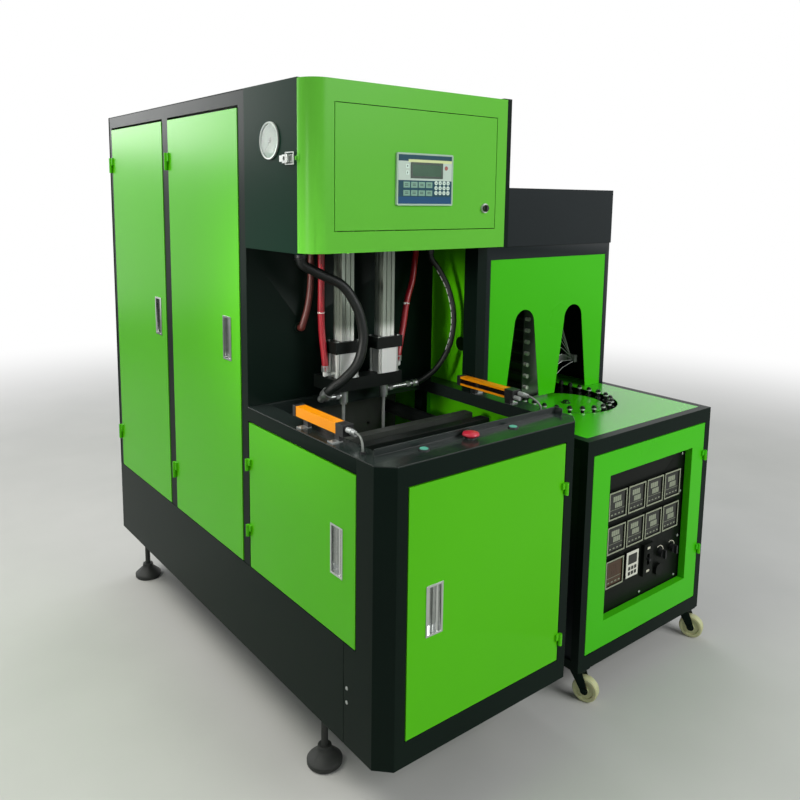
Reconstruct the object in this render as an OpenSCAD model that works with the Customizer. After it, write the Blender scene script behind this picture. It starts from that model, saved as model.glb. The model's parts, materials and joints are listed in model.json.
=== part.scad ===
// Two-cavity stretch blow moulding machine with its infrared preform heater.
// The blowing unit stands on levelling feet; the heater stands on castors at its right side.
// X runs to the right, Y to the back and Z up. Drawn first from the blowing unit's
// front left corner at floor level, then moved so that the origin is under the middle.

/* [Blowing unit] */
// Width of the blowing unit
unit_w = 720; // [700:5:800]
// Depth of the blowing unit, front to back
unit_d = 1830; // [1800:10:1980]
// Height of the blowing unit to its roof
unit_h = 1920; // [1900:10:2020]
// Height of the work table
table_h = 1000; // [990:5:1040]
// Underside of the base frame above the floor
plinth_z = 215; // [195:5:235]
// Distance from the front to the tall cabinet
cabinet_y = 672; // [664:1:690]
// Size of the cut on the two front corners
corner_cut = 40; // [30:1:46]
// Thickness of the casing sheets
sheet_t = 2; // [1.5:0.5:3]
// Size of the square frame tube
tube = 40; // [36:1:44]
// Running gap round every door
door_gap = 3; // [2:0.5:4]

/* [Doors] */
// Depth of a door's folded edge
fold_d = 18; // [14:1:22]
// Height of the top edge of the tall doors below the roof
tall_top = 50; // [44:1:60]
// Underside of the tall doors above the floor
tall_z = 500; // [490:1:520]
// Width of the post between the two tall doors
mullion_w = 49; // [40:1:56]
// Width of the rear post
rear_post_w = 27; // [20:1:32]
// Top edge of the low side door below the table
low_top = 47; // [44:1:56]
// Front edge of the low side door
low_y = 113; // [108:1:125]
// Left edge of the front door
front_x = 76; // [70:1:84]
// Underside of the front door above the floor
front_z = 284; // [270:1:300]
// Top edge of the front door below the table
front_top = 59; // [54:1:70]
// Length of a tall door's hinge
hinge_tall = 58; // [48:2:66]
// Length of a small door's hinge
hinge_small = 36; // [30:2:44]
// Radius of a hinge barrel
hinge_r = 6; // [5.5:0.25:6.25]
// Height of a recessed door pull
pull_h = 136; // [120:2:150]
// Width of a recessed door pull
pull_w = 56; // [50:1:60]

/* [Head] */
// Distance from the front to the head
head_y = 320; // [310:2:330]
// Height of the head
head_h = 448; // [434:2:456]
// Radius of the bend on the left of the head cover
bend_r = 56; // [40:1:60]
// Strip of frame to the right of the head cover
jamb_w = 20; // [17:1:26]
// Strip of the head cover to the right of the control door
control_side = 43; // [36:1:60]
// Strip of the head cover above the control door
control_top = 61; // [54:1:70]
// Underside of the control door above the underside of the head
control_up = 61; // [54:1:70]
// Width of the operator panel
hmi_w = 204; // [190:1:214]
// Height of the operator panel
hmi_h = 143; // [130:1:150]
// Diameter of the pressure gauge
gauge_d = 100; // [90:1:110]

/* [Table] */
// Thickness of the table plate
plate_t = 3; // [2:0.5:4]
// Width of the side rails of the table
rail_w = 65; // [62:1:68]
// Depth of the control strip at the front of the table
strip_d = 95; // [90:1:98]
// Height of the upstand behind the control strip
upstand_h = 18; // [10:1:22]
// Height of the flange turned down round the pit
pit_flange = 40; // [36:1:46]
// Length of a light curtain
curtain_l = 232; // [212:4:236]
// Distance between the start buttons and the stop button
button_step = 160; // [150:2:168]
// Diameter of the stop button
stop_d = 46; // [40:1:50]

/* [Blowing stations] */
// Distance from the front to the two stations
station_y = 580; // [574:1:586]
// Distance between the two stations
station_pitch = 156; // [150:1:162]
// Section of the stretch cylinder profile
profile_w = 45; // [42:1:48]
// Section of the seal cylinder
seal_w = 58; // [56:1:64]
// Height of the seal cylinder
seal_h = 80; // [70:1:86]
// Underside of the nozzle beam above the table
beam_up = 30; // [28:1:40]
// Thickness of the nozzle beam
beam_t = 40; // [34:1:46]
// Diameter of a stretch rod
rod_d = 10; // [8:0.5:12]
// Length of a stretch rod below its nozzle
rod_out = 140; // [110:5:160]
// Travel of a stretch rod, down
rod_stroke = 200; // [180:5:220]
// Diameter of a nozzle
nozzle_d = 28; // [25:1:30]
// Travel of a nozzle, down
nozzle_stroke = 25; // [15:1:30]

/* [Mould clamp] */
// Diameter of a tie bar
tie_d = 45; // [40:1:50]
// Distance between the tie bars, side to side
tie_w = 464; // [450:2:470]
// Distance between the tie bars, up and down
tie_h = 300; // [290:2:310]
// Width of a platen
platen_w = 540; // [530:2:546]
// Height of a platen
platen_h = 420; // [400:5:430]
// Thickness of a platen and an end plate
platen_t = 35; // [30:1:40]
// Clear space between the open platens
daylight = 360; // [350:5:370]
// Travel of each platen
platen_stroke = 90; // [80:5:95]
// Outer diameter of a clamp cylinder
clamp_d = 170; // [160:2:180]

/* [Heater] */
// Clear space between the blowing unit and the heater
heater_gap = 135; // [125:5:160]
// Width of the heater
heater_w = 700; // [690:5:730]
// Depth of the heater
heater_d = 1100; // [1060:10:1200]
// Distance from the blowing unit's front to the heater's front
heater_y = 82; // [70:1:100]
// Height of the heater's table
heater_h = 882; // [872:2:900]
// Underside of the heater's frame above the floor
heater_z = 110; // [108:1:120]
// Total height of the lamp tower
tower_h = 1660; // [1630:5:1700]
// Distance from the heater's front to the lamp tower
tower_back = 473; // [465:1:490]
// Height of the green front of the tower above the heater's table
tower_panel_h = 527; // [510:1:540]
// Height of the arches above the heater's table
arch_h = 338; // [320:2:350]
// Width of an arch at its foot
arch_w = 186; // [178:2:192]
// Width of an arch at its head
arch_head = 104; // [96:2:112]
// Radius of the preform path round the turntable
path_r = 163; // [158:1:166]
// Number of preform holders on the chain
holder_count = 44; // [36:2:46]
// Diameter of a castor wheel
wheel_d = 84; // [75:1:86]
// Width of a castor wheel
wheel_w = 30; // [26:1:32]
// Side of a temperature controller
controller_w = 96; // [90:1:98]

/* [Hidden] */
$fn = 48;

// Colours
green = "#4fb812";
green_light = "#6cc742";
black = "#1a221e";
chrome = "#c9ccc9";
steel = "#8d9290";
alu = "#b9beba";
orange = "#f0981c";
red = "#b3202c";
white = "#e8e8e2";
ivory = "#c8cc98";
eps = 0.01;

// Places on the blowing unit
mid_x = unit_w / 2;
right_x = unit_w - sheet_t;
roof_z = unit_h - sheet_t;
tall_h = unit_h - tall_top - tall_z;
post_w = tube - 1;
rear_y = unit_d - sheet_t;
rear_door_y = rear_y - rear_post_w - door_gap;
tall_span = rear_door_y - (cabinet_y + post_w + door_gap);
tall_w = (tall_span - mullion_w - 2 * door_gap) / 2;
mullion_y = cabinet_y + post_w + 2 * door_gap + tall_w;
middle_door_y = mullion_y - door_gap;
low_back_y = cabinet_y - 8;
low_w = low_back_y - low_y;
low_h = table_h - low_top - tall_z;
front_w = unit_w - 2 * front_x;
front_h = table_h - front_top - front_z;
under_table = table_h - plate_t;
skirt_y = low_y + 50;
axis_out = hinge_r + 0.5;
axis_side = door_gap + 1;

foot_x = 72;
foot_y = [362, unit_d - 78];

// Places on the head
head_z = unit_h - head_h;
cover_w = unit_w - jamb_w;
cover_z = head_z + door_gap;
cover_h = head_h - 2 * door_gap;
cover_lip = 4;
cover_back = head_y + bend_r + cover_lip;
cover_step = bend_r + cover_lip;
control_x = front_x;
control_w = cover_w - control_x - control_side;
control_z = head_z + control_up;
control_h = head_h - control_up - control_top;
hmi_x = control_x + (control_w - hmi_w) / 2 + 8.5;
hmi_z = control_z + 67;
lock_x = control_x + control_w - 46;
lock_z = control_z + 60;
lock_shaft_r = 8;
pivot_in = 4;
pivot_back = 5;
cover_fold = 34;
pivot_r = 2.5;
cover_pivot = [cover_w - 6, head_y + 6];
head_frame_y = cover_back + 4;
gauge_y = 520;
gauge_z = unit_h - 152;
latch_y = 415;
latch_z = unit_h - 202;
catch_l = 12;
lever_pin_x = -8;
lever_pin_r = 2;
bail_pin_y = latch_y + 10;
column_y = 408;
column_d = 60;
gland_z = head_z - 16;

// Places on the table
pit_back = cabinet_y - 12;
button_y = 60;
button_x = 330;
button_r = 11;
bezel_h = 3;
start_stroke = 4;
stop_stroke = 5;

// Places at the stations
station_x = [mid_x - station_pitch / 2, mid_x + station_pitch / 2];
beam_z = table_h + beam_up;
seal_z = beam_z + beam_t;
flange_z = seal_z + seal_h;
flange_t = 36;
profile_z = flange_z + flange_t;
bore_r = 16;
rod_r = rod_d / 2;
run_fit = 0.05;
nozzle_h = 45;
nozzle_z = beam_z - nozzle_h;
rod_tip = nozzle_z - rod_out;
piston_h = 24;
piston_top = profile_z + 22 + rod_stroke + piston_h;
profile_h = 22 + rod_stroke + piston_h + 120 + 20;
port_z = nozzle_z + 27;
fitting_y = station_y + 6;
fitting_x = [station_x[0] - seal_w / 2 - 35, station_x[1] + seal_w / 2 + 35];
fitting_z = seal_z + 26;

// Places in the mould clamp
clamp_mid_z = 740;
mould_x = 150;
mould_z = 100;
platen_front_y = station_y - daylight / 2;
platen_rear_y = station_y + daylight / 2;
end_front_y = platen_front_y - platen_t - 75;
end_rear_y = platen_rear_y + platen_t + 40;
clamp_l = 190;
clamp_bore = 70;
ram_r = 30;
cross_z = clamp_mid_z - platen_h / 2 - 10;

// Places on the heater
hx0 = unit_w + heater_gap;
hx1 = hx0 + heater_w;
hmid = hx0 + heater_w / 2;
hy1 = heater_y + heater_d;
htube = 30;
tower_y = heater_y + tower_back;
tower_x0 = hx0 + 5;
tower_x1 = hx1 - 5;
tower_in = 25;
turn_y = tower_y - 95;
back_y = hy1 - 230;
slot_r = path_r + 22;
disc_r = path_r - 23;
arch_x = arch_w / 2 + 45;
bed_z = heater_h - 40;
hdoor_x = hx0 + 32;
hdoor_w = heater_w - 2 * 32;
hdoor_z = heater_z + 52;
hdoor_h = heater_h - 53 - hdoor_z;
win_x = hx0 + 120;
win_w = 475;
win_z = 253;
win_h = 496;
board_y = heater_y + htube;
board_t = 3;
cell_x = win_x + 30;
cell_z = win_z + win_h - 74 - controller_w;
cell_px = controller_w + 9;
cell_pz = controller_w + 23;
wire_end = [hmid + 196, tower_y + 40, heater_h + 112];
lever_x = win_x + 268;
lever_z = win_z + 128;
lever_shaft_r = 1.5;
knob_x = [win_x + 352, win_x + 422];
knob_z = win_z + 126;
castor_x = 38;
castor_y = 28;
castor_turn = 200;
wheel_z = wheel_d / 2;
trail = 28;
axle_r = 5;

// Box over everything, from which the origin is set
low_x = min(lever_pin_x - 5, -axis_out - hinge_r);
high_x = hx1;
low_yy = -axis_out - hinge_r;
origin = [(low_x + high_x) / 2, (low_yy + unit_d) / 2, 0];

// Routes of the two blowing hoses, from the head down to the nozzles
seat = 0.3;
hose_left_d = 30;
hose_left_path = [[118, 560, gland_z - seat], [118, 560, gland_z - 12], [127, 558, gland_z - 31],
    [172, 550, 1400], [240, 526, 1362],
    [280, 509, 1298], [297, 502, 1232], [296, 500, 1180], [277, 502, 1124], [240, 514, 1082],
    [209, 531, 1055], [200, station_y - 32.24, port_z + 24.18],
    [200, station_y - 20.24, port_z + 15.18]];
hose_right_d = 18;
hose_right_path = [[612, 560, gland_z - seat], [612, 560, gland_z - 14], [617, 558, gland_z - 34],
    [641, 545, 1382], [660, 526, 1330],
    [668, 509, 1264], [667, 504, 1206], [659, 508, 1150], [643, 522, 1098], [618, 541, 1054],
    [592, 566, 1024], [572, station_y, port_z], [553 + seat, station_y, port_z]];
// Route of a light curtain's lead, from its plug down to the table
curtain_lead = [[9, -40, 19], [9, -52, 18], [7, -66, 13], [3, -78, 4], [0, -84, -6], [0, -85, -15]];
// Routes of the air hoses, from the head down to the stations and to the wall
air_d = 20;
wall_gland = [176, 662, table_h + 224];
air_paths = [
    [[215, 602, gland_z - seat], [215, 602, 1380], [214, 601, 1330], [213, 600, 1274], [214, 597, 1210],
        [217, 590, 1150], [fitting_x[0], fitting_y, 1120], [fitting_x[0], fitting_y, fitting_z]],
    [[203, 640, gland_z - seat], [203, 640, gland_z - 14], [203, 640, 1400], [200, 640, 1345],
        [193, 642, 1295], [184, 645, 1258], [178, 649, 1234], wall_gland - [0, 10, 0], wall_gland - [0, seat, 0]],
    [[610, 636, gland_z - seat], [610, 636, gland_z - 14], [604, 632, 1418], [586, 623, 1350], [556, 612, 1286], [533, 603, 1200],
        [511, 592, 1140], [fitting_x[1], fitting_y, 1118], [fitting_x[1], fitting_y, fitting_z]]];

module place() {
    translate(-origin) children();
}

// Block between two opposite corners
module block(lo, hi) {
    translate(lo) cube(hi - lo);
}

module mirrored_x(middle) {
    children();
    translate([2 * middle, 0, 0]) mirror([1, 0, 0]) children();
}

// Turns a piece drawn facing the front so that it faces the left side
module on_left(y, z) {
    translate([0, y, z]) rotate([0, 0, -90]) children();
}

module tube_y(r, l) {
    rotate([-90, 0, 0]) cylinder(r = r, h = l);
}

module tube_x(r, l) {
    rotate([0, 90, 0]) cylinder(r = r, h = l);
}

// Round hose swept along a route, with a ring of corners at each of its points
function unit_of(v) = v / norm(v);
function heading(q, i) = unit_of(q[min(i + 1, len(q) - 1)] - q[max(i - 1, 0)]);
module hose(q, d) {
    sides = 12;
    n = len(q);
    points = [for (i = [0:n - 1]) let (h = heading(q, i), u = unit_of(cross(h, [1, 0.35, 0])),
        v = cross(h, u)) for (k = [0:sides - 1])
        q[i] + d / 2 * (cos(360 * k / sides) * u + sin(360 * k / sides) * v)];
    faces = concat([[for (k = [0:sides - 1]) k]],
        [for (i = [0:n - 2]) for (k = [0:sides - 1])
            [i * sides + k, (i + 1) * sides + k, (i + 1) * sides + (k + 1) % sides,
                i * sides + (k + 1) % sides]],
        [[for (k = [sides - 1:-1:0]) (n - 1) * sides + k]]);
    polyhedron(points = points, faces = faces, convexity = 6);
}

// Folded door with its outer face at y = 0 and its lower left corner at the origin
module door_pan(w, h) {
    difference() {
        cube([w, fold_d, h]);
        translate([sheet_t, sheet_t, sheet_t])
            cube([w - 2 * sheet_t, fold_d, h - 2 * sheet_t]);
    }
}

// Opening in a door for its recessed pull
module pull_hole(x, z) {
    tub = [pull_w - 8, 4 * sheet_t, pull_h - 8];
    translate([x - tub[0] / 2, -sheet_t, z - tub[2] / 2]) cube(tub);
}

// Recessed pull: a flange on the door, a tub behind it and an upright grip across the tub
module pull(x, z) {
    tub_w = pull_w - 8 - 0.6;
    tub_h = pull_h - 8 - 0.6;
    wall = 1.5;
    translate([x, 0, z]) {
        difference() {
            union() {
                block([-pull_w / 2, -2, -pull_h / 2], [pull_w / 2, 0, pull_h / 2]);
                block([-tub_w / 2, -2, -tub_h / 2], [tub_w / 2, fold_d - 2, tub_h / 2]);
            }
            block([-tub_w / 2 + wall, -3, -tub_h / 2 + wall],
                [tub_w / 2 - wall, fold_d - 2 - wall, tub_h / 2 - wall]);
        }
        translate([pull_w / 5, 4, -tub_h / 2 + wall - 0.5])
            cylinder(r = 4, h = tub_h - 2 * wall + 1);
    }
}

// Half of a weld-on hinge that turns with the door, drawn round its axis
module hinge_moving(l) {
    difference() {
        union() {
            cylinder(r = hinge_r, h = l / 2);
            block([0, 0, 0], [16, axis_out, l / 2]);
        }
        translate([0, 0, -1]) cylinder(r = hinge_r / 2 + run_fit, h = l / 2 - 2);
    }
}

// Half of a weld-on hinge that stays on the frame, with the pin
module hinge_fixed(l, seat) {
    translate([0, 0, -l / 2]) cylinder(r = hinge_r, h = l / 2 - 0.3);
    block([-8, 0, -l / 2], [0, axis_out + seat, -0.3]);
    translate([0, 0, -1]) cylinder(r = hinge_r / 2, h = l / 2 - 3);
}

// Puts hinge halves at the left edge of a door of width w, or at its right edge
module at_hinges(w, at_right, heights) {
    for (z = heights)
        if (at_right)
            translate([w + axis_side, -axis_out, z]) mirror([1, 0, 0]) children();
        else
            translate([-axis_side, -axis_out, z]) children();
}

tall_hinges = [143, tall_h - 137];
low_hinges = [117, low_h - 130];
front_hinges = [66, front_h - 132];
hdoor_hinges = [188, hdoor_h - 120];

// Door hung on the left side at y, hinged at its rear edge
module side_door(y, z, w, h, hinge_l, hinges, pull_x, pull_z) {
    on_left(y, z) {
        difference() {
            door_pan(w, h);
            pull_hole(pull_x, pull_z);
        }
        at_hinges(w, false, hinges) hinge_moving(hinge_l);
    }
}

module door_rear() {
    color(green) place() side_door(rear_door_y, tall_z, tall_w, tall_h, hinge_tall,
        tall_hinges, tall_w - 70, 686);
}

module door_middle() {
    color(green) place() side_door(middle_door_y, tall_z, tall_w, tall_h, hinge_tall,
        tall_hinges, tall_w - 84, 688);
}

module door_low() {
    color(green) place() side_door(low_back_y, tall_z, low_w, low_h, hinge_small,
        low_hinges, low_w - 82, 231);
}

module door_front() {
    color(green) place() translate([front_x, 0, front_z]) {
        difference() {
            door_pan(front_w, front_h);
            pull_hole(86, 322);
        }
        at_hinges(front_w, true, front_hinges) hinge_moving(hinge_small);
    }
}

module handle_rear() {
    color(chrome) place() on_left(rear_door_y, tall_z) pull(tall_w - 70, 686);
}

module handle_middle() {
    color(chrome) place() on_left(middle_door_y, tall_z) pull(tall_w - 84, 688);
}

module handle_low() {
    color(chrome) place() on_left(low_back_y, tall_z) pull(low_w - 82, 231);
}

module handle_front() {
    color(chrome) place() translate([front_x, 0, front_z]) pull(86, 322);
}

// The fixed halves of every weld-on hinge
module hinge_pins() {
    color(green) place() {
        on_left(rear_door_y, tall_z)
            at_hinges(tall_w, false, tall_hinges) hinge_fixed(hinge_tall, sheet_t);
        on_left(middle_door_y, tall_z)
            at_hinges(tall_w, false, tall_hinges) hinge_fixed(hinge_tall, sheet_t);
        on_left(low_back_y, tall_z)
            at_hinges(low_w, false, low_hinges) hinge_fixed(hinge_small, sheet_t);
        translate([front_x, 0, front_z])
            at_hinges(front_w, true, front_hinges) hinge_fixed(hinge_small, 0);
        translate([hdoor_x, heater_y, hdoor_z])
            at_hinges(hdoor_w, true, hdoor_hinges) hinge_fixed(hinge_small, 0);
    }
}

// Welded frame of square tube: two side frames joined by cross rails
module frame() {
    ear_t = door_gap - 0.5;
    x1 = sheet_t + tube;
    y1 = cabinet_y + post_w;
    color(black) place() {
        mirrored_x(mid_x) {
            block([front_x - door_gap - tube, 12, plinth_z], [front_x - door_gap, 12 + tube, under_table]);
            block([sheet_t, cabinet_y, plinth_z], [x1, y1, roof_z]);
            block([sheet_t, mullion_y, plinth_z], [x1, mullion_y + mullion_w, roof_z]);
            block([sheet_t, rear_y - rear_post_w, plinth_z], [x1, rear_y, roof_z]);
            block([sheet_t, 12 + tube, plinth_z], [x1, rear_y, plinth_z + tube]);
            block([sheet_t, 12 + tube, tall_z - door_gap - tube], [x1, rear_y, tall_z - door_gap]);
            block([sheet_t, 12 + tube, table_h - low_top + door_gap], [x1, cabinet_y, under_table]);
            block([sheet_t, head_frame_y, roof_z - tube], [x1, rear_y, roof_z]);
            block([sheet_t, head_frame_y, head_z + sheet_t], [x1, cabinet_y, head_z + sheet_t + 30]);
        }
        inner = unit_w - x1;
        // Rails above and below the front door
        block([front_x - door_gap, sheet_t, front_z + front_h + door_gap],
            [unit_w - front_x + door_gap, sheet_t + tube, under_table]);
        block([front_x - door_gap, sheet_t, plinth_z],
            [unit_w - front_x + door_gap, sheet_t + tube, front_z - door_gap]);
        // Cross rails of the cabinet and under the clamp's end plates
        block([x1, cabinet_y, under_table - tube], [inner, y1, under_table]);
        block([x1, cabinet_y, head_z + sheet_t], [inner, y1, head_z + sheet_t + tube]);
        block([x1, cabinet_y, roof_z - tube], [inner, y1, roof_z]);
        for (z = [plinth_z, tall_z - door_gap - tube, roof_z - tube])
            block([x1, rear_y - rear_post_w, z], [inner, rear_y, z + tube]);
        for (y = [end_front_y, end_rear_y])
            block([x1, y, cross_z - tube], [inner, y + platen_t + 5, cross_z]);
        // Column that carries the free end of the head on the right
        block([inner, column_y, table_h], [unit_w - sheet_t, column_y + column_d, head_z]);
        // Plates over the levelling feet
        mirrored_x(mid_x) for (y = foot_y) block([sheet_t, y - 40, plinth_z], [foot_x + 32, y + 40, plinth_z + 8]);
        // Jamb beside the head cover, with the ears and pins that the cover turns on
        block([cover_w + door_gap, head_y + sheet_t, head_z],
            [unit_w, head_frame_y, unit_h]);
        for (z = [head_z, unit_h - ear_t])
            block([cover_w - 14, head_y + sheet_t, z], [unit_w, head_y + 14, z + ear_t]);
        for (z = [head_z + 1, unit_h - 9])
            translate([cover_pivot[0], cover_pivot[1], z]) cylinder(r = pivot_r, h = 8);
    }
}

// Levelling foot: rubber-faced cone, stem and lock nut
module foot(x, y) {
    translate([x, y, 0]) {
        rotate_extrude() polygon([[0, 0], [48, 0], [52, 6], [52, 16], [46, 22], [22, 44],
            [20, 58], [0, 58]]);
        translate([0, 0, 50]) cylinder(r = 10, h = plinth_z - 50);
        translate([0, 0, plinth_z - 34]) cylinder(r = 18, h = 16, $fn = 6);
        translate([0, 0, plinth_z - 14]) cylinder(r = 24, h = 14);
    }
}

module levelling_feet() {
    color("#20241f") place() for (x = [foot_x, unit_w - foot_x], y = foot_y) foot(x, y);
}

// Sheet bent round the two cut corners of the table section
module front_wrap(z0, z1, side_l) {
    c = corner_cut;
    k = sheet_t * tan(22.5);
    translate([0, 0, z0]) linear_extrude(z1 - z0) difference() {
        polygon([[0, side_l], [0, c], [c, 0], [unit_w - c, 0], [unit_w, c], [unit_w, side_l]]);
        polygon([[sheet_t, side_l + 1], [sheet_t, c + k], [c + k, sheet_t],
            [unit_w - c - k, sheet_t], [right_x, c + k], [right_x, side_l + 1]]);
    }
}

// Fixed black sheets: front surround, skirts, roof, back and the wall behind the stations
module cabinet_panels() {
    low_edge = tall_z - door_gap;
    color(black) place() {
        difference() {
            union() {
                front_wrap(plinth_z, low_edge, skirt_y - 1);
                front_wrap(low_edge, under_table, low_y - door_gap);
            }
            block([front_x - door_gap, -1, front_z - door_gap],
                [unit_w - front_x + door_gap, sheet_t + 1, front_z + front_h + door_gap]);
        }
        mirrored_x(mid_x) block([0, skirt_y, plinth_z], [sheet_t, unit_d, low_edge]);
        // Roof and back
        block([0, cabinet_y, roof_z], [unit_w, unit_d, unit_h]);
        difference() {
            block([0, rear_y, low_edge], [unit_w, unit_d, roof_z]);
            for (z = [tall_z + 120, unit_h - 360], i = [0:7]) block([160, rear_y - 1, z + 24 * i],
                [unit_w - 160, unit_d + 1, z + 24 * i + 8]);
        }
        block([sheet_t, rear_y, plinth_z], [right_x, unit_d, low_edge]);
        // Wall behind the stations, between the posts
        block([sheet_t, cabinet_y - sheet_t, table_h], [right_x, cabinet_y, head_z]);
        // Gland of the wall's air hose
        translate(wall_gland) tube_y(air_d / 2 + 5, cabinet_y - wall_gland[1]);
        // Floor of the tall cabinet
        block([sheet_t + tube, end_rear_y + 320, tall_z - door_gap],
            [unit_w - sheet_t - tube, rear_y - rear_post_w, tall_z - door_gap + 3]);
    }
}

// Table plate with its pit, turned-down flanges and the upstand behind the control strip
module table_top() {
    c = corner_cut;
    x0 = rail_w;
    x1 = unit_w - rail_w;
    color("#20282a") place() difference() {
        union() {
            translate([0, 0, under_table]) linear_extrude(plate_t) polygon([[0, cabinet_y - sheet_t],
                [0, c], [c, 0], [unit_w - c, 0], [unit_w, c], [unit_w, cabinet_y - sheet_t]]);
            block([x0 - plate_t, strip_d - plate_t, under_table - pit_flange + plate_t],
                [x1 + plate_t, pit_back + plate_t, table_h]);
            block([c, strip_d - plate_t, table_h], [unit_w - 15, strip_d, table_h + upstand_h]);
            block([unit_w - 15 - plate_t, strip_d - 28, table_h],
                [unit_w - 15, strip_d, table_h + upstand_h]);
            for (i = [-1:1]) translate([button_x + i * button_step, button_y, table_h - 1])
                cylinder(r = button_r + 3, h = bezel_h + 1);
        }
        block([x0, strip_d, under_table - pit_flange], [x1, pit_back, table_h + 1]);
        for (i = [-1:1]) translate([button_x + i * button_step, button_y, under_table - 1])
            cylinder(r = button_r + run_fit, h = plate_t + bezel_h + 2);
    }
}

// Flush panels on the hidden right side, and the panel beside the stations
module right_panels() {
    color(green) place() {
        translate([unit_w, 0, 0]) mirror([1, 0, 0]) {
            on_left(rear_door_y + door_gap, tall_z) door_pan(tall_w + 2 * door_gap, tall_h);
            on_left(middle_door_y + door_gap, tall_z) door_pan(tall_w + 2 * door_gap, tall_h);
            on_left(cabinet_y, tall_z) door_pan(low_w + door_gap + 8, low_h);
        }
        difference() {
            block([right_x - sheet_t, column_y + column_d, table_h],
                [right_x, cabinet_y - sheet_t, head_z]);
            translate([right_x - 6, 521, table_h + 137]) tube_x(24, 10);
        }
    }
}

module gland(top, d) {
    translate([top[0], top[1], gland_z]) cylinder(r = d / 2 + 5, h = head_z - gland_z + eps);
}

// Black box of the head: side plates, bottom plate with the ways for the cylinders, and roof
module head_shell() {
    color(black) place() {
        y0 = cover_back + 1;
        difference() {
            block([0, y0, head_z], [sheet_t, cabinet_y - 1, unit_h]);
            translate([-1, gauge_y, gauge_z]) tube_x(gauge_d / 2 - 6, 5);
        }
        block([right_x, head_frame_y, head_z], [unit_w, cabinet_y - 1, unit_h]);
        block([sheet_t, head_frame_y, roof_z], [right_x, cabinet_y - 1, unit_h]);
        for (z = [head_z, roof_z]) {
            block([cover_step + 2, head_y + cover_fold + 2, z], [cover_w + door_gap, y0 + 1, z + sheet_t]);
            block([sheet_t, y0, z], [cover_w + door_gap, head_frame_y + 1, z + sheet_t]);
        }
        difference() {
            block([sheet_t, head_frame_y, head_z], [right_x, cabinet_y - 1, head_z + sheet_t]);
            for (x = station_x) translate([x, station_y, head_z - 1])
                linear_extrude(4) square(profile_w + 8, center = true);
        }
        // Glands from which the hoses hang
        gland(hose_left_path[0], hose_left_d);
        gland(hose_right_path[0], hose_right_d);
        for (p = air_paths) gland(p[0], air_d);
    }
}

// Front cover of the head with its large bend, its folded edges and the control door's opening
module head_cover() {
    color(green_light) place() {
        difference() {
            translate([0, 0, cover_z]) linear_extrude(cover_h) cover_outline(0);
            translate([0, 0, cover_z + sheet_t]) linear_extrude(cover_h - 2 * sheet_t)
                cover_outline(sheet_t);
            translate([control_x - 2, head_y - 1, control_z - 2])
                cube([control_w + 4, sheet_t + 2, control_h + 4]);
            // Holes in the top and bottom folds for the cover's own pins
            translate([cover_pivot[0], cover_pivot[1], head_z])
                cylinder(r = pivot_r + run_fit, h = head_h);
        }
        // Lugs for the pivots of the control door
        for (z = [control_z - 12, control_z + control_h + 2]) difference() {
            translate([control_x - 6, head_y + sheet_t - eps, z]) cube([22, 12, 10]);
            translate([control_x + pivot_in, head_y + pivot_back, z - 1])
                cylinder(r = pivot_r + run_fit, h = 12);
        }
        // Catch for the toggle latch, at the rear end of the bend
        translate([0, cover_back - catch_l, latch_z]) {
            block([-1.5, 1, -9], [1, catch_l - 1, 9]);
            block([-7, catch_l - 4, -5], [0, catch_l - 1, 5]);
        }
    }
}

// Outline of the cover seen from above, moved inwards by t
module cover_outline(t) {
    difference() {
        translate([t, head_y + t]) square([cover_w - 2 * t, cover_back - head_y - t]);
        difference() {
            translate([t - 1, head_y + t - 1]) square([bend_r - t + 1, bend_r - t + 1]);
            translate([bend_r, head_y + bend_r]) circle(r = bend_r - t);
        }
        if (t == 0) translate([cover_step, head_y + cover_fold]) square([cover_w, bend_r + cover_lip]);
    }
}

module control_door() {
    color(green_light) place() translate([control_x, head_y, control_z]) {
        difference() {
            cube([control_w, 15, control_h]);
            translate([sheet_t, sheet_t, sheet_t])
                cube([control_w - 2 * sheet_t, 15, control_h - 2 * sheet_t]);
            translate([hmi_x - control_x + 8, -1, hmi_z - control_z + 8])
                cube([hmi_w - 16, sheet_t + 2, hmi_h - 16]);
            translate([lock_x - control_x, -1, lock_z - control_z])
                tube_y(lock_shaft_r + run_fit, sheet_t + 2);
        }
        for (z = [-8, control_h - sheet_t])
            translate([pivot_in, pivot_back, z]) cylinder(r = pivot_r, h = 8 + sheet_t);
    }
}

// Operator panel: bezel with a display window, key fields and the case behind
module hmi_panel() {
    color("#b9c4b4") place() translate([hmi_x, head_y, hmi_z]) {
        difference() {
            translate([0, -7, 0]) rounded_slab(hmi_w, 7, hmi_h, 5);
            block([4, -8, 4], [hmi_w - 4, -6, hmi_h - 4]);
        }
        block([9, 0, 9], [hmi_w - 9, 38, hmi_h - 9]);
        // Display frame, the oblong keys, the round keys and the three keys beside the display
        difference() {
            block([48, -6.8, 75], [165, -5.9, 118]);
            block([54, -7, 80], [159, -6.3, 113]);
        }
        for (i = [0:3], j = [0:1])
            block([22.5 + 27 * i, -6.8, 27 + 22 * j], [45.5 + 27 * i, -5.9, 42 + 23 * j]);
        for (i = [0:3], j = [0:2]) translate([140.5 + 15 * i, -6.8, 35.5 + 13.7 * j]) tube_y(6, 0.9);
        translate([178, -6.8, 105]) tube_y(6, 0.9);
        for (z = [84, 102]) block([30, -6.8, z], [42, -5.9, z + 11]);
    }
}

module rounded_slab(w, d, h, r) {
    translate([0, d, 0]) rotate([90, 0, 0]) linear_extrude(d) union() {
        translate([r, 0]) square([w - 2 * r, h]);
        translate([0, r]) square([w, h - 2 * r]);
        for (x = [r, w - r], y = [r, h - r]) translate([x, y]) circle(r = r);
    }
}

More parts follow.
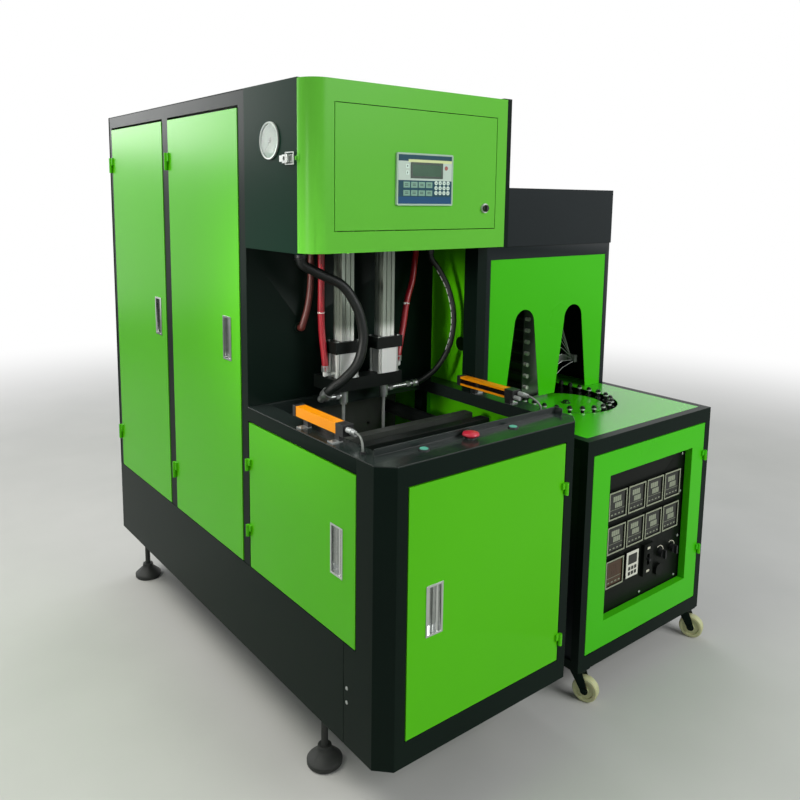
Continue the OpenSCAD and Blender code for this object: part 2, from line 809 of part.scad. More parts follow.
// Lock of the control door: rose, barrel with its wing and the shaft that runs in the door
module door_lock() {
    color(chrome) place() translate([lock_x, head_y, lock_z]) {
        translate([0, -6, 0]) tube_y(14, 5.7);
        translate([0, -1, 0]) tube_y(lock_shaft_r, 24);
        translate([0, -11, 0]) tube_y(10.5, 6);
        block([-2.5, -15, -8], [2.5, -10, 8]);
        block([-5, 17, -4], [5, 21, 54]);
    }
}

// Toggle latch on the head's left side: plate with two ears
module latch_base() {
    w = 22;
    color(chrome) place() translate([0, latch_y, latch_z]) difference() {
        union() {
            block([-1.5, -16, -w / 2], [0, 40, w / 2]);
            for (z = [-w / 2, w / 2 - 2]) block([lever_pin_x - 5, -6, z], [-1, 6, z + 2]);
        }
        translate([lever_pin_x, 0, -w]) cylinder(r = lever_pin_r + run_fit, h = 2 * w);
    }
}

module latch_lever() {
    w = 16;
    color(chrome) place() translate([0, latch_y, latch_z]) difference() {
        union() {
            translate([lever_pin_x, 0, -11.5]) cylinder(r = lever_pin_r, h = 23);
            translate([lever_pin_x, 0, -w / 2]) cylinder(r = 4.5, h = w);
            block([lever_pin_x - 4.5, 0, -w / 2], [lever_pin_x + 2, 22, w / 2]);
            block([lever_pin_x - 4.5, 20, -w / 2], [lever_pin_x - 2.5, 34, w / 2]);
        }
        block([lever_pin_x - 6, 5.5, -w / 2 + 3], [lever_pin_x + 3, 16, w / 2 - 3]);
        translate([lever_pin_x, 10, -w]) cylinder(r = 1.5 + run_fit, h = 2 * w);
    }
}

// Wire bail of the latch, pinned in the lever
module latch_bail() {
    wire = 1.5;
    reach = bail_pin_y - (cover_back + 5);
    color(chrome) place() translate([lever_pin_x, bail_pin_y, latch_z]) {
        translate([0, 0, -15]) cylinder(r = wire, h = 30);
        for (z = [-15, 15]) {
            translate([0, -reach, z]) tube_y(wire, reach);
            translate([0, 0, z]) sphere(r = wire);
            translate([0, -reach, z]) sphere(r = wire);
        }
        translate([0, -reach, -15]) cylinder(r = wire, h = 30);
    }
}

// Dial gauge let into the head's left side
module pressure_gauge() {
    r = gauge_d / 2;
    color(white) place() translate([0, gauge_y, gauge_z]) {
        difference() {
            union() {
                translate([-5, 0, 0]) tube_x(r, 5);
                translate([-1, 0, 0]) tube_x(r - 7, 31);
            }
            translate([-6, 0, 0]) tube_x(r - 5, 5);
        }
        translate([-3.6, 0, 0]) tube_x(1.5, 3);
        translate([30, 0, 0]) tube_x(8, 24);
    }
}

module gauge_pointer() {
    color("#202020") place() translate([0, gauge_y, gauge_z]) rotate([-135, 0, 0]) difference() {
        union() {
            translate([-3, 0, 0]) tube_x(5, 1.4);
            block([-2.8, -1.2, -12], [-2, 1.2, gauge_d / 2 - 14]);
        }
        translate([-8, 0, 0]) tube_x(1.5 + run_fit, 8);
    }
}

// Push button: cap above a stem that runs in the table plate's hole
module push_button(i, lift) {
    translate([button_x + i * button_step, button_y, table_h - 40])
        cylinder(r = button_r, h = 40 + lift);
}

module start_button_left() {
    color("#7fd2b4") place() push_button(-1, bezel_h + start_stroke - 2);
}

module start_button_right() {
    color("#7fd2b4") place() push_button(1, bezel_h + start_stroke - 2);
}

module stop_button() {
    color("#d8304a") place() {
        push_button(0, bezel_h + stop_stroke + 2);
        translate([button_x, button_y, table_h + bezel_h + stop_stroke + 0.5]) rotate_extrude()
            polygon([[0, 0], [stop_d / 2 - 1, 0], [stop_d / 2, 2], [stop_d / 2 - 2, 7],
                [stop_d / 4, 10], [0, 11]]);
    }
}

// Light curtain on two feet, with end caps, two plugs and the lead down to its gland
module light_curtain(x, side) {
    w = 30;
    h = 28;
    cap = 34;
    lift = 21;
    lead = side > 0 ? curtain_lead : [for (p = curtain_lead) [w - p[0], p[1], p[2]]];
    translate([x, 208, table_h + lift]) {
        difference() {
            block([0, cap, 0], [w, curtain_l, h]);
            block([side > 0 ? w - 5 : -1, cap - 1, 6], [side > 0 ? w + 1 : 5, curtain_l + 1, h - 7]);
        }
        block([-1, 0, -1], [w + 1, cap, h + 1]);
        block([-1, curtain_l, -1], [w + 1, curtain_l + 14, h + 1]);
        translate([side > 0 ? 9 : w - 9, -26, h - 9]) tube_y(7, 26);
        translate([side > 0 ? 9 : w - 9, -40, h - 9]) tube_y(5, 15);
        translate([side > 0 ? 23 : w - 23, -22, 8]) tube_y(6, 22);
        for (y = [24, curtain_l - 56]) {
            block([side > 0 ? 4 : 14, y, -lift], [side > 0 ? w - 14 : w - 4, y + 22, 0]);
            block([side > 0 ? -18 : 14, y, -lift], [side > 0 ? w - 14 : w + 18, y + 22, 3 - lift]);
        }
        hose(lead, 6);
        translate([lead[5][0], lead[5][1], -lift]) cylinder(r = 7, h = 6);
    }
}

module light_curtains() {
    color(orange) place() {
        light_curtain(28, 1);
        light_curtain(unit_w - 46 - 30, -1);
    }
}

// Extruded stretch cylinders with their end caps, standing on the flange blocks
module stretch_cylinders() {
    w = profile_w;
    color(alu) place() for (x = station_x) translate([x, station_y, profile_z]) difference() {
        union() {
            linear_extrude(profile_h - 20) difference() {
                square(w, center = true);
                for (a = [0:90:270]) rotate(a) for (s = [-9, 9])
                    translate([w / 2 - 3, s - 2]) square([4, 4]);
            }
            translate([-w / 2 - 1, -w / 2 - 1, profile_h - 20]) cube([w + 2, w + 2, 20]);
        }
        translate([0, 0, -1]) cylinder(r = rod_r + 2, h = 12);
        translate([0, 0, 10]) cylinder(r = bore_r, h = profile_h - 22);
    }
}

module seal_cylinders() {
    color(white) place() for (x = station_x) translate([x, station_y, seal_z]) difference() {
        translate([-seal_w / 2, -seal_w / 2, 0]) cube([seal_w, seal_w, seal_h]);
        translate([0, 0, -1]) cylinder(r = rod_r + 3, h = seal_h + 2);
    }
    // Elbows for the air hoses
    color(steel) place() mirrored_x(mid_x) translate([fitting_x[0], fitting_y, fitting_z - 12]) {
        sphere(r = 7);
        cylinder(r = 7, h = 12);
        tube_x(5, 36);
    }
}

// Beam under the seal cylinders with its brackets to the wall, and the flange blocks above
module nozzle_beam() {
    half = station_pitch / 2 + 52;
    color("#181c1a") place() {
        difference() {
            union() {
                block([mid_x - half, station_y - 28, beam_z], [mid_x + half, station_y + 28, seal_z]);
                mirrored_x(mid_x) block([mid_x - half, station_y + 27, beam_z],
                    [mid_x - half + 40, cabinet_y - sheet_t, seal_z]);
                for (x = station_x) {
                    block([x - 50, station_y - 32, flange_z], [x + 50, station_y + 32, profile_z]);
                    // Tie rods round each seal cylinder
                    for (sx = [-1, 1], sy = [-1, 1]) translate([x + sx * (seal_w / 2 + 5),
                        station_y + sy * (seal_w / 2 - 6), seal_z]) cylinder(r = 4, h = seal_h);
                }
            }
            for (x = station_x) {
                translate([x, station_y, flange_z - 1]) cylinder(r = rod_r + 2, h = flange_t + 2);
                translate([x, station_y, beam_z - 1]) cylinder(r = nozzle_d / 2 - 4 + run_fit, h = beam_t + 2);
            }
        }
    }
}

// Nozzle: neck that runs in the beam, body with the blowing port and the seal at its foot
module nozzle(i) {
    side = i == 0 ? -1 : 1;
    translate([station_x[i], station_y, nozzle_z]) difference() {
        union() {
            cylinder(r = nozzle_d / 2 - 3, h = 8);
            translate([0, 0, 6]) cylinder(r = nozzle_d / 2, h = nozzle_h - 6 - 0.3);
            cylinder(r = nozzle_d / 2 - 4, h = nozzle_h + beam_t - 4);
            // Port with its hexagons; the left one ends in an elbow
            translate([0, 0, port_z - nozzle_z]) {
                rotate([0, side * 90, 0]) {
                    cylinder(r = 7, h = port_l(i));
                    translate([0, 0, 18]) cylinder(r = 11, h = 14, $fn = 6);
                    translate([0, 0, port_l(i) - 24]) cylinder(r = 10, h = 12, $fn = 6);
                }
                if (i == 0) translate([-port_l(i), 0, 0]) {
                    sphere(r = 11);
                    rotate([atan2(20, 15), 0, 0]) cylinder(r = 10, h = 25);
                }
            }
        }
        translate([0, 0, -1]) cylinder(r = rod_r + run_fit, h = nozzle_h + beam_t);
    }
}

function port_l(i) = i == 0 ? station_x[0] - 200 : 553 - station_x[1];

module nozzle_left() {
    color(steel) place() nozzle(0);
}

module nozzle_right() {
    color(steel) place() nozzle(1);
}

// Stretch rod with its piston in the stretch cylinder
module stretch_rod(i) {
    translate([station_x[i], station_y, rod_tip]) {
        translate([0, 0, rod_r]) cylinder(r = rod_r, h = piston_top - rod_tip - rod_r - 1);
        sphere_end();
    }
    translate([station_x[i], station_y, piston_top - piston_h])
        cylinder(r = bore_r - run_fit, h = piston_h);
}

module sphere_end() {
    translate([0, 0, rod_r]) rotate_extrude() intersection() {
        circle(r = rod_r);
        translate([0, -rod_r]) square([rod_r, rod_r]);
    }
}

module stretch_rod_left() {
    color(chrome) place() stretch_rod(0);
}

module stretch_rod_right() {
    color(chrome) place() stretch_rod(1);
}

module hose_left() {
    color("#16191a") place() hose(hose_left_path, hose_left_d);
}

module hose_right() {
    color("#16191a") place() hose(hose_right_path, hose_right_d);
}

module air_hoses() {
    color(red) place() for (p = air_paths) hose(p, air_d);
}

// Platen with bushes for the tie bars, tapped holes for a mould half and its ram
module platen(dir) {
    t = platen_t;
    difference() {
        union() {
            block([-platen_w / 2, 0, -platen_h / 2], [platen_w / 2, t, platen_h / 2]);
            for (x = [-1, 1], z = [-1, 1]) translate([x * tie_w / 2, -14, z * tie_h / 2])
                tube_y(tie_d / 2 + 12, 14);
            translate([0, -ram_l(dir), 0]) tube_y(ram_r, ram_l(dir));
            translate([0, -ram_l(dir), 0]) tube_y(clamp_bore - run_fit, 25);
            translate([0, -18, 0]) tube_y(ram_r + 20, 18);
        }
        for (x = [-1, 1], z = [-1, 1]) translate([x * tie_w / 2, -15, z * tie_h / 2])
            tube_y(tie_d / 2 + run_fit, t + 16);
        for (x = [-mould_x, mould_x], z = [-mould_z, mould_z]) translate([x, t - 24, z]) tube_y(6, 25);
    }
}

function ram_l(dir) = dir > 0 ? platen_front_y - platen_t - end_front_y + clamp_l - 20
    : end_rear_y + platen_t - platen_rear_y - platen_t + clamp_l - 20;

module platen_front() {
    color(steel) place() translate([mid_x, platen_front_y - platen_t, clamp_mid_z]) platen(1);
}

module platen_rear() {
    color(steel) place() translate([mid_x, platen_rear_y + platen_t, clamp_mid_z])
        rotate([0, 0, 180]) platen(-1);
}

// Fixed end plates, tie bars with nuts and the two clamp cylinders
module clamp_frame() {
    y0 = end_front_y;
    y1 = end_rear_y + platen_t;
    color("#2b3030") place() translate([mid_x, 0, clamp_mid_z]) difference() {
        union() {
            for (y = [y0, end_rear_y])
                block([-platen_w / 2, y, -platen_h / 2 - 10], [platen_w / 2, y + platen_t, platen_h / 2]);
            for (x = [-1, 1], z = [-1, 1]) translate([x * tie_w / 2, y0 - 24, z * tie_h / 2]) {
                tube_y(tie_d / 2, y1 - y0 + 48);
                for (y = [4, y1 - y0 + 24]) translate([0, y, 0]) rotate([-90, 0, 0])
                    cylinder(r = tie_d / 2 + 12, h = 20, $fn = 6);
            }
            for (y = [y0 - clamp_l, y1]) translate([0, y, 0]) tube_y(clamp_d / 2, clamp_l);
            for (y = [y0 - clamp_l, y0 - 24, y1, y1 + clamp_l - 24])
                block([-clamp_d / 2 - 8, y, -clamp_d / 2 - 8], [clamp_d / 2 + 8, y + 24, clamp_d / 2 + 8]);
        }
        translate([0, y0 - clamp_l + 14, 0]) tube_y(clamp_bore, clamp_l - 28);
        translate([0, y0 - clamp_l / 2, 0]) tube_y(ram_r + run_fit, clamp_l);
        translate([0, y1 + 14, 0]) tube_y(clamp_bore, clamp_l - 28);
        translate([0, y1 - platen_t - 1, 0]) tube_y(ram_r + run_fit, clamp_l / 2);
    }
}

// Air receiver, valve bank and regulator in the tall cabinet
module air_equipment() {
    floor_z = tall_z - door_gap + 3;
    receiver_y = (mullion_y + mullion_w + rear_y - rear_post_w) / 2;
    r = 140;
    dome = 60;
    side_h = 740;
    plate_x = sheet_t + tube;
    color("#3a4a78") place() {
        translate([mid_x, receiver_y, floor_z]) {
            rotate_extrude() polygon(concat([[0, dome]], [for (a = [0:10:90])
                [r * sin(a), dome * (2 - cos(a))]], [for (a = [0:10:90])
                [r * cos(a), 2 * dome + side_h + dome * sin(a)]]));
            for (a = [45:90:315]) rotate(a) block([r - 40, -15, 0], [r - 22, 15, 2 * dome + 10]);
            translate([0, 0, 3 * dome + side_h - 5]) cylinder(r = 16, h = 40);
        }
        // Plate for the valves on the middle posts
        block([plate_x, mullion_y, table_h], [unit_w - plate_x, mullion_y + 6, unit_h - 300]);
        translate([mid_x, mullion_y, table_h]) {
            block([-210, -50, 90], [200, 0, 130]);
            for (i = [0:6]) block([-195 + 54 * i, -46, 130], [-155 + 54 * i, 0, 230]);
            // Electrical gear on the same plate
            for (i = [0:3]) block([-60 + 66 * i, -70, 430], [-8 + 66 * i, 0, 520]);
            block([-60, -40, 320], [200, 0, 370]);
        }
        // Regulator with its bowl
        translate([mid_x - 160, mullion_y - 45, table_h + 400]) {
            block([-35, 0, 0], [35, 45, 60]);
            cylinder(r = 24, h = 110);
            translate([0, 0, -80]) cylinder(r = 20, h = 82);
        }
    }
}

// Welded frame of the heater with the fixed forks of its rear castors
module heater_frame() {
    t = htube;
    x1 = hx1 - t;
    color(black) place() difference() {
        union() {
            mirrored_x(hmid) {
                for (y = [heater_y, hy1 - t]) block([hx0, y, heater_z], [hx0 + t, y + t, heater_h]);
                block([hx0, heater_y, heater_z], [hx0 + t, hy1, heater_z + t]);
                block([hx0, heater_y, heater_h - t], [hx0 + t, hy1, heater_h]);
                // Rear castors, with no swivel
                translate([hx0 + castor_x, hy1 - castor_y, 0]) {
                    castor_plate();
                    fork_legs(heater_z - 4, 0);
                }
                translate([hx0 + castor_x, heater_y + castor_y, 0]) {
                    castor_plate();
                    translate([0, 0, heater_z - 22]) cylinder(r = 6, h = 20);
                }
            }
            block([hx0, heater_y, hdoor_z + hdoor_h + door_gap], [hx1, heater_y + t, heater_h]);
            block([hx0, heater_y, heater_z], [hx1, heater_y + t, hdoor_z - door_gap]);
            for (z = [heater_z, heater_h - t]) block([hx0, hy1 - t, z], [hx1, hy1, z + t]);
        }
    }
}

module castor_plate() {
    translate([-27, -27, heater_z - 4]) cube([54, 54, 4.1]);
}

// Two legs of a castor with their axle; drawn round the swivel axis
module fork_legs(top, back) {
    leg_x = wheel_w / 2 + 2;
    for (s = [-1, 1]) translate([s > 0 ? leg_x : -leg_x - 3, 0, 0]) fork_leg(top, back);
    translate([-leg_x - 3, -20, top - 4]) cube([2 * leg_x + 6, 40, 4]);
    translate([-leg_x - 6, back, wheel_z]) tube_x(axle_r, 2 * leg_x + 12);
    for (x = [-leg_x - 7, leg_x + 3]) translate([x, back, wheel_z]) rotate([0, 90, 0])
        cylinder(r = 8, h = 4, $fn = 6);
}

// One leg: a plate that narrows from the crown to a round eye
module fork_leg(top, back) {
    rotate([90, 0, 90]) linear_extrude(3) union() {
        translate([back, wheel_z]) circle(r = 13);
        polygon([[back - 13, wheel_z], [back + 13, wheel_z], [20, top - 2], [-20, top - 2]]);
        translate([-20, top - 4]) square([40, 4]);
    }
}

// Swivelling fork of a front castor, turned to the place it stands in
module castor_fork(x) {
    top = heater_z - 8;
    color(black) place() translate([x, heater_y + castor_y, 0]) rotate(castor_turn) difference() {
        union() {
            fork_legs(top, trail);
            translate([0, 0, top - 4]) cylinder(r = 24, h = 7.7);
        }
        translate([0, 0, heater_z - 24]) cylinder(r = 6 + run_fit, h = 30);
    }
}

module fork_left() {
    castor_fork(hx0 + castor_x);
}

module fork_right() {
    castor_fork(hx1 - castor_x);
}

// Castor wheel with its hub
module castor_wheel(x, y, turn, back) {
    w = wheel_w;
    r = wheel_d / 2;
    color(ivory) place() translate([x, y, wheel_z]) rotate(turn) translate([0, back, 0])
        rotate([0, 90, 0]) rotate_extrude($fn = 64)
        polygon([[axle_r + run_fit, -w / 2 - 1.5], [13, -w / 2 - 1.5], [13, -w / 2 + 5], [r - 14, -w / 2 + 5],
            [r - 12, -w / 2], [r - 4, -w / 2], [r, -w / 2 + 4], [r, w / 2 - 4], [r - 4, w / 2],
            [r - 12, w / 2], [r - 14, w / 2 - 5], [13, w / 2 - 5], [13, w / 2 + 1.5],
            [axle_r + run_fit, w / 2 + 1.5]]);
}

module wheel_front_left() {
    castor_wheel(hx0 + castor_x, heater_y + castor_y, castor_turn, trail);
}

module wheel_front_right() {
    castor_wheel(hx1 - castor_x, heater_y + castor_y, castor_turn, trail);
}

module wheel_rear_left() {
    castor_wheel(hx0 + castor_x, hy1 - castor_y, 0, 0);
}

module wheel_rear_right() {
    castor_wheel(hx1 - castor_x, hy1 - castor_y, 0, 0);
}

// Plan of the stadium that the preforms follow, with its radius moved by r
module path_plan(r) {
    translate([hmid, turn_y]) circle(r = r);
    translate([hmid, back_y]) circle(r = r);
    translate([hmid - r, turn_y]) square([2 * r, back_y - turn_y]);
}

// Black casing: lower side and back panels, floor, and the tower with its header
module heater_panels() {
    t = sheet_t;
    color(black) place() {
        mirrored_x(hmid) {
            block([hx0 + 8, heater_y + htube, heater_z + htube],
                [hx0 + 8 + t, hy1 - htube, heater_h - htube]);
            block([tower_x0, tower_y + t, heater_h], [tower_x0 + t, hy1 - 10, tower_h - t]);
        }
        block([hx0 + htube, hy1 - 10, heater_z + htube], [hx1 - htube, hy1 - 10 + t, heater_h - htube]);
        block([tower_x0, hy1 - 10, heater_h], [tower_x1, hy1 - 10 + t, tower_h - t]);
        block([tower_x0, tower_y, tower_h - t], [tower_x1, hy1 - 10 + t, tower_h]);
        // Front frame of the tower round the green panel, with a step below the header
        difference() {
            block([tower_x0, tower_y, heater_h], [tower_x1, tower_y + t, tower_h - t]);
            block([tower_x0 + tower_in, tower_y - 1, heater_h - 1],
                [tower_x1 - tower_in, tower_y + t + 1, heater_h + tower_panel_h]);
        }
        block([tower_x0, tower_y - 6, heater_h + tower_panel_h + 45],
            [tower_x1, tower_y, tower_h]);
        // Bed under the chain
        block([hx0 + 8 + t, heater_y + htube, bed_z - t], [hx1 - 8 - t, hy1 - htube, bed_z]);
    }
}

// Green table plate with the stadium slot
module heater_top() {
    color(green) place() translate([0, 0, heater_h - 2 * sheet_t]) linear_extrude(2 * sheet_t) difference() {
        translate([hx0 + htube, heater_y + htube])
            square([heater_w - 2 * htube, heater_d - 2 * htube]);
        path_plan(slot_r);
    }
}

// Green front of the tower with the two arches
module tower_front() {
    w = tower_x1 - tower_x0 - 2 * tower_in;
    r = arch_head / 2;
    color(green) place() translate([hmid, tower_y + sheet_t, heater_h]) rotate([90, 0, 0])
        linear_extrude(sheet_t) difference() {
            translate([-w / 2, 0]) square([w, tower_panel_h]);
            for (s = [-1, 1]) translate([s * arch_x, 0]) {
                translate([0, arch_h - r]) circle(r = r);
                polygon([[-arch_w / 2, -1], [arch_w / 2, -1], [r, arch_h - r], [-r, arch_h - r]]);
            }
        }
}

module heater_door() {
    color(green) place() translate([hdoor_x, heater_y, hdoor_z]) {
        difference() {
            door_pan(hdoor_w, hdoor_h);
            translate([win_x - hdoor_x, -1, win_z - hdoor_z]) cube([win_w, sheet_t + 2, win_h]);
        }
        // Return walls of the window
        translate([win_x - hdoor_x, 0, win_z - hdoor_z]) difference() {
            translate([-sheet_t, 0, -sheet_t]) cube([win_w + 2 * sheet_t, fold_d + 8, win_h + 2 * sheet_t]);
            translate([0, -1, 0]) cube([win_w, fold_d + 10, win_h]);
        }
        at_hinges(hdoor_w, true, hdoor_hinges) hinge_moving(hinge_small);
    }
}

// Board behind the window with its controllers, timer, breaker body and dial
module control_board() {
    c = controller_w;
    color("#15181a") place() {
        block([hx0 + 10, board_y, hdoor_z], [hx1 - 10, board_y + board_t, hdoor_z + hdoor_h]);
        for (i = [0:3], j = [0:1]) controller(cell_x + i * cell_px, cell_z - j * cell_pz, c);
        controller(cell_x, cell_z - 2 * cell_pz, c);
        // Timer beside the last controller
        block([cell_x + cell_px + 8, board_y - 8, cell_z - 2 * cell_pz + 4],
            [cell_x + cell_px + 76, board_y, cell_z - 2 * cell_pz + c]);
        // Breaker body with the slot of its lever
        difference() {
            block([lever_x - 27, board_y - 12, lever_z - 58], [lever_x + 27, board_y, lever_z + 58]);
            block([lever_x - 7, board_y - 13, lever_z - 20], [lever_x + 7, board_y - 1, lever_z + 20]);
            translate([lever_x - 11, board_y - 7, lever_z]) tube_x(lever_shaft_r + run_fit, 22);
        }
        // Shafts of the two knobs and the fixed dial
        for (x = knob_x) translate([x, board_y - 16, knob_z]) tube_y(3, 16);
        translate([knob_x[0] - 10, board_y - 12, knob_z - 58]) tube_y(22, 12);
    }
}

// Square controller with a raised frame and a sunk face
module controller(x, z, c) {
    translate([x, board_y - 10, z]) difference() {
        cube([c, 10, c]);
        translate([7, -1, 7]) cube([c - 14, 4, c - 14]);
    }
}

module breaker_lever() {
    color("#30343a") place() translate([lever_x, board_y - 7, lever_z]) {
        translate([-10.5, 0, 0]) tube_x(lever_shaft_r, 21);
        block([-5, -13, -4], [5, 3, 4]);
    }
}

// Rotary knob with a pointer ridge
module knob(i) {
    color("#22262a") place() translate([knob_x[i], board_y - 2, knob_z]) difference() {
        union() {
            translate([0, -16, 0]) tube_y(15, 15.7);
            block([-3, -26, -15], [3, -15, 15]);
        }
        translate([0, -14, 0]) tube_y(3 + run_fit, 16);
    }
}

module knob_left() {
    knob(0);
}

module knob_right() {
    knob(1);
}

// Turning disc with its shaft, bearing hub and centre bolt
module turntable() {
    top = heater_h - 12;
    color(green_light) place() translate([hmid, turn_y, 0]) {
        translate([0, 0, top - 6]) cylinder(r = disc_r, h = 6, $fn = 96);
        translate([0, 0, bed_z + 0.3]) cylinder(r = 40, h = top - 6 - bed_z);
        translate([0, 0, top - 1]) cylinder(r = 12, h = 9, $fn = 6);
    }
}

// Point on the stadium at distance s along it
loop_straight = back_y - turn_y;
loop_l = 2 * loop_straight + 2 * PI * path_r;
function on_loop(s) =
    s < loop_straight ? [hmid + path_r, turn_y + s] :
    s < loop_straight + PI * path_r ? let (a = (s - loop_straight) / path_r * 180 / PI)
        [hmid + path_r * cos(a), back_y + path_r * sin(a)] :
    s < 2 * loop_straight + PI * path_r ?
        [hmid - path_r, back_y - (s - loop_straight - PI * path_r)] :
    let (a = (s - 2 * loop_straight - PI * path_r) / path_r * 180 / PI)
        [hmid - path_r * cos(a), turn_y - path_r * sin(a)];

// Chain track with a spindle and cap for each preform
module holder_chain() {
    color(steel) place() {
        translate([0, 0, bed_z]) linear_extrude(14) difference() {
            path_plan(path_r + 14);
            path_plan(path_r - 14);
        }
        for (i = [0:holder_count - 1]) translate(concat(on_loop((i + 0.5) * loop_l / holder_count), bed_z + 13)) {
            cylinder(r = 11, h = 17);
            cylinder(r = 6, h = 46);
            translate([0, 0, 34]) cylinder(r = 9, h = 8);
        }
    }
}

// Lamp bank between the two runs of the chain: frame, reflectors, lamps and their white tails
module lamp_rack() {
    rows = 8;
    step = 44;
    y0 = tower_y + 60;
    y1 = back_y - 20;
    z0 = heater_h + 26;
    color("#9a9c98") place() {
        for (y = [y0, y1 - 6]) block([hmid - 74, y, bed_z], [hmid + 74, y + 6, z0 + rows * step]);
        for (s = [-1, 1]) block([hmid + s * 40 - 1, y0 + 6, z0 - 20], [hmid + s * 40 + 1, y1 - 6, z0 + rows * step]);
        for (s = [-1, 1], i = [0:rows - 1]) translate([hmid + s * 62, y0 - 14, z0 + i * step])
            tube_y(6, y1 - y0 + 28);
        // White leads of the lamps, gathered in a clip on the right
        for (i = [0:rows - 1]) {
            a = [hmid + 62, y0 - 10, z0 + i * step];
            b = [hmid + 128, y0 - 26 + 3 * i, z0 + 56 + i * 0.6 * step];
            strand(a, b);
            strand(b, wire_end + [0, 3 * i - 10, 2 * i - 8]);
        }
        block(wire_end - [8, 16, 14], wire_end + [8, 18, 14]);
        block([wire_end[0] - 4, wire_end[1] + 17, wire_end[2] - 10],
            [wire_end[0] + 4, y0 + 5, wire_end[2] + 10]);
        block([hmid + 60, y0, wire_end[2] - 14], [wire_end[0] + 8, y0 + 6, wire_end[2] + 14]);
    }
}

// Straight piece of thin lead between two points, a little longer than their distance
module strand(a, b) {
    d = b - a;
    translate(a - unit_of(d)) rotate([0, acos(d[2] / norm(d)), atan2(d[1], d[0])])
        cylinder(r = 1.5, h = norm(d) + 2, $fn = 16);
}

frame();
levelling_feet();
cabinet_panels();
table_top();
door_rear();
door_middle();
door_low();
door_front();
handle_rear();
handle_middle();
handle_low();
handle_front();
hinge_pins();
right_panels();
head_shell();
head_cover();
control_door();
hmi_panel();
door_lock();
latch_base();
latch_lever();
latch_bail();
pressure_gauge();
gauge_pointer();
start_button_left();
start_button_right();
stop_button();
light_curtains();
stretch_cylinders();
seal_cylinders();
nozzle_beam();
nozzle_left();
nozzle_right();
stretch_rod_left();
stretch_rod_right();
hose_left();
hose_right();
air_hoses();
platen_front();
platen_rear();
clamp_frame();
air_equipment();
heater_frame();
heater_panels();
heater_top();
tower_front();
heater_door();
control_board();
breaker_lever();
knob_left();
knob_right();
turntable();
holder_chain();
lamp_rack();
fork_left();
fork_right();
wheel_front_left();
wheel_front_right();
wheel_rear_left();
wheel_rear_right();
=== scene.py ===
import json
import math
import bmesh
import bpy
from mathutils import Matrix, Vector

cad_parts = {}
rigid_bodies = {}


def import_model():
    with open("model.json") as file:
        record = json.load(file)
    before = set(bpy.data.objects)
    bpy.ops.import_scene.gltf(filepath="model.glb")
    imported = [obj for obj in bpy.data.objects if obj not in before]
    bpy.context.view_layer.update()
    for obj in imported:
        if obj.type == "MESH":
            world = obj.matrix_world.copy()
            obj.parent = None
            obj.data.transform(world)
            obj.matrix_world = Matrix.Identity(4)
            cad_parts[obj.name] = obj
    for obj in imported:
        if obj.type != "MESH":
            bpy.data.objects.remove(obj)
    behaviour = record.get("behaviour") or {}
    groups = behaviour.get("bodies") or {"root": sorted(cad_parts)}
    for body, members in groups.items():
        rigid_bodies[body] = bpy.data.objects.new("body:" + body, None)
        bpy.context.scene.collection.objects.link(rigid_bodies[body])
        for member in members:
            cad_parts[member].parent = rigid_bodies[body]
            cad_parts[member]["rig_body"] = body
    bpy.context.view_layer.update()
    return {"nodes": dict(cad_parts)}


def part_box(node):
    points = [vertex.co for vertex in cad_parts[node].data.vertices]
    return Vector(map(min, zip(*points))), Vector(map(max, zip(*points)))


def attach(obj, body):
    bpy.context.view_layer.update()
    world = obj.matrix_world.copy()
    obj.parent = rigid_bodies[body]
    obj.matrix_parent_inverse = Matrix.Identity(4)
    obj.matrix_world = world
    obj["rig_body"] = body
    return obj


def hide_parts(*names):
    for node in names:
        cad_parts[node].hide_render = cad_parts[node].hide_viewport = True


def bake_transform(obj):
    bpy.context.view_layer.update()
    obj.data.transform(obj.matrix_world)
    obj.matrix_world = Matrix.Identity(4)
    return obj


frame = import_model()

# Camera. The machine is seen from its front left corner, from standing eye height,
# a little down. Lens and shift give the photograph's framing on a square picture.
eye = Vector((-1.805, -2.25775, 1.621))
heading, tilt, roll = (math.radians(a) for a in (38.18, -7.91, 0.73))
looking = Vector((math.sin(heading) * math.cos(tilt), math.cos(heading) * math.cos(tilt),
                  math.sin(tilt)))
level = Vector((math.cos(heading), -math.sin(heading), 0))
upward = level.cross(looking)
right = math.cos(roll) * level + math.sin(roll) * upward
upward = math.cos(roll) * upward - math.sin(roll) * level
lens = bpy.data.cameras.new("camera")
lens.sensor_width = 36
lens.lens = 34.69
lens.shift_x = 0.0056
lens.shift_y = -0.119
camera = bpy.data.objects.new("camera", lens)
bpy.context.collection.objects.link(camera)
camera.matrix_world = Matrix.Translation(eye) @ Matrix((right, upward, -looking)).transposed().to_4x4()
bpy.context.scene.camera = camera
bpy.context.scene.view_settings.view_transform = "Standard"


# Studio. A pale floor and a white surround that metal reflects. Soft lamps hang high at the left,
# before the front and above; a far one puts a glint on the tall doors, a faint one lights the table.
def linear(colour):
    """sRGB hex to the linear colour that a shader takes."""
    parts = [int(colour[i:i + 2], 16) / 255 for i in (1, 3, 5)]
    return [c / 12.92 if c <= 0.04045 else ((c + 0.055) / 1.055) ** 2.4 for c in parts] + [1]


def add(tree, kind, inputs=(), **settings):
    """Adds one node with its settings; an input is a value or another node's socket."""
    made = tree.nodes.new("ShaderNode" + kind)
    for name, value in settings.items():
        setattr(made, name, value)
    for name, value in dict(inputs).items():
        if isinstance(value, bpy.types.NodeSocket):
            tree.links.new(value, made.inputs[name])
        else:
            made.inputs[name].default_value = value
    return made


def empty_tree(owner):
    """The node tree of a material or world, cleared of what a new one holds."""
    owner.use_nodes = True
    owner.node_tree.nodes.clear()
    return owner.node_tree


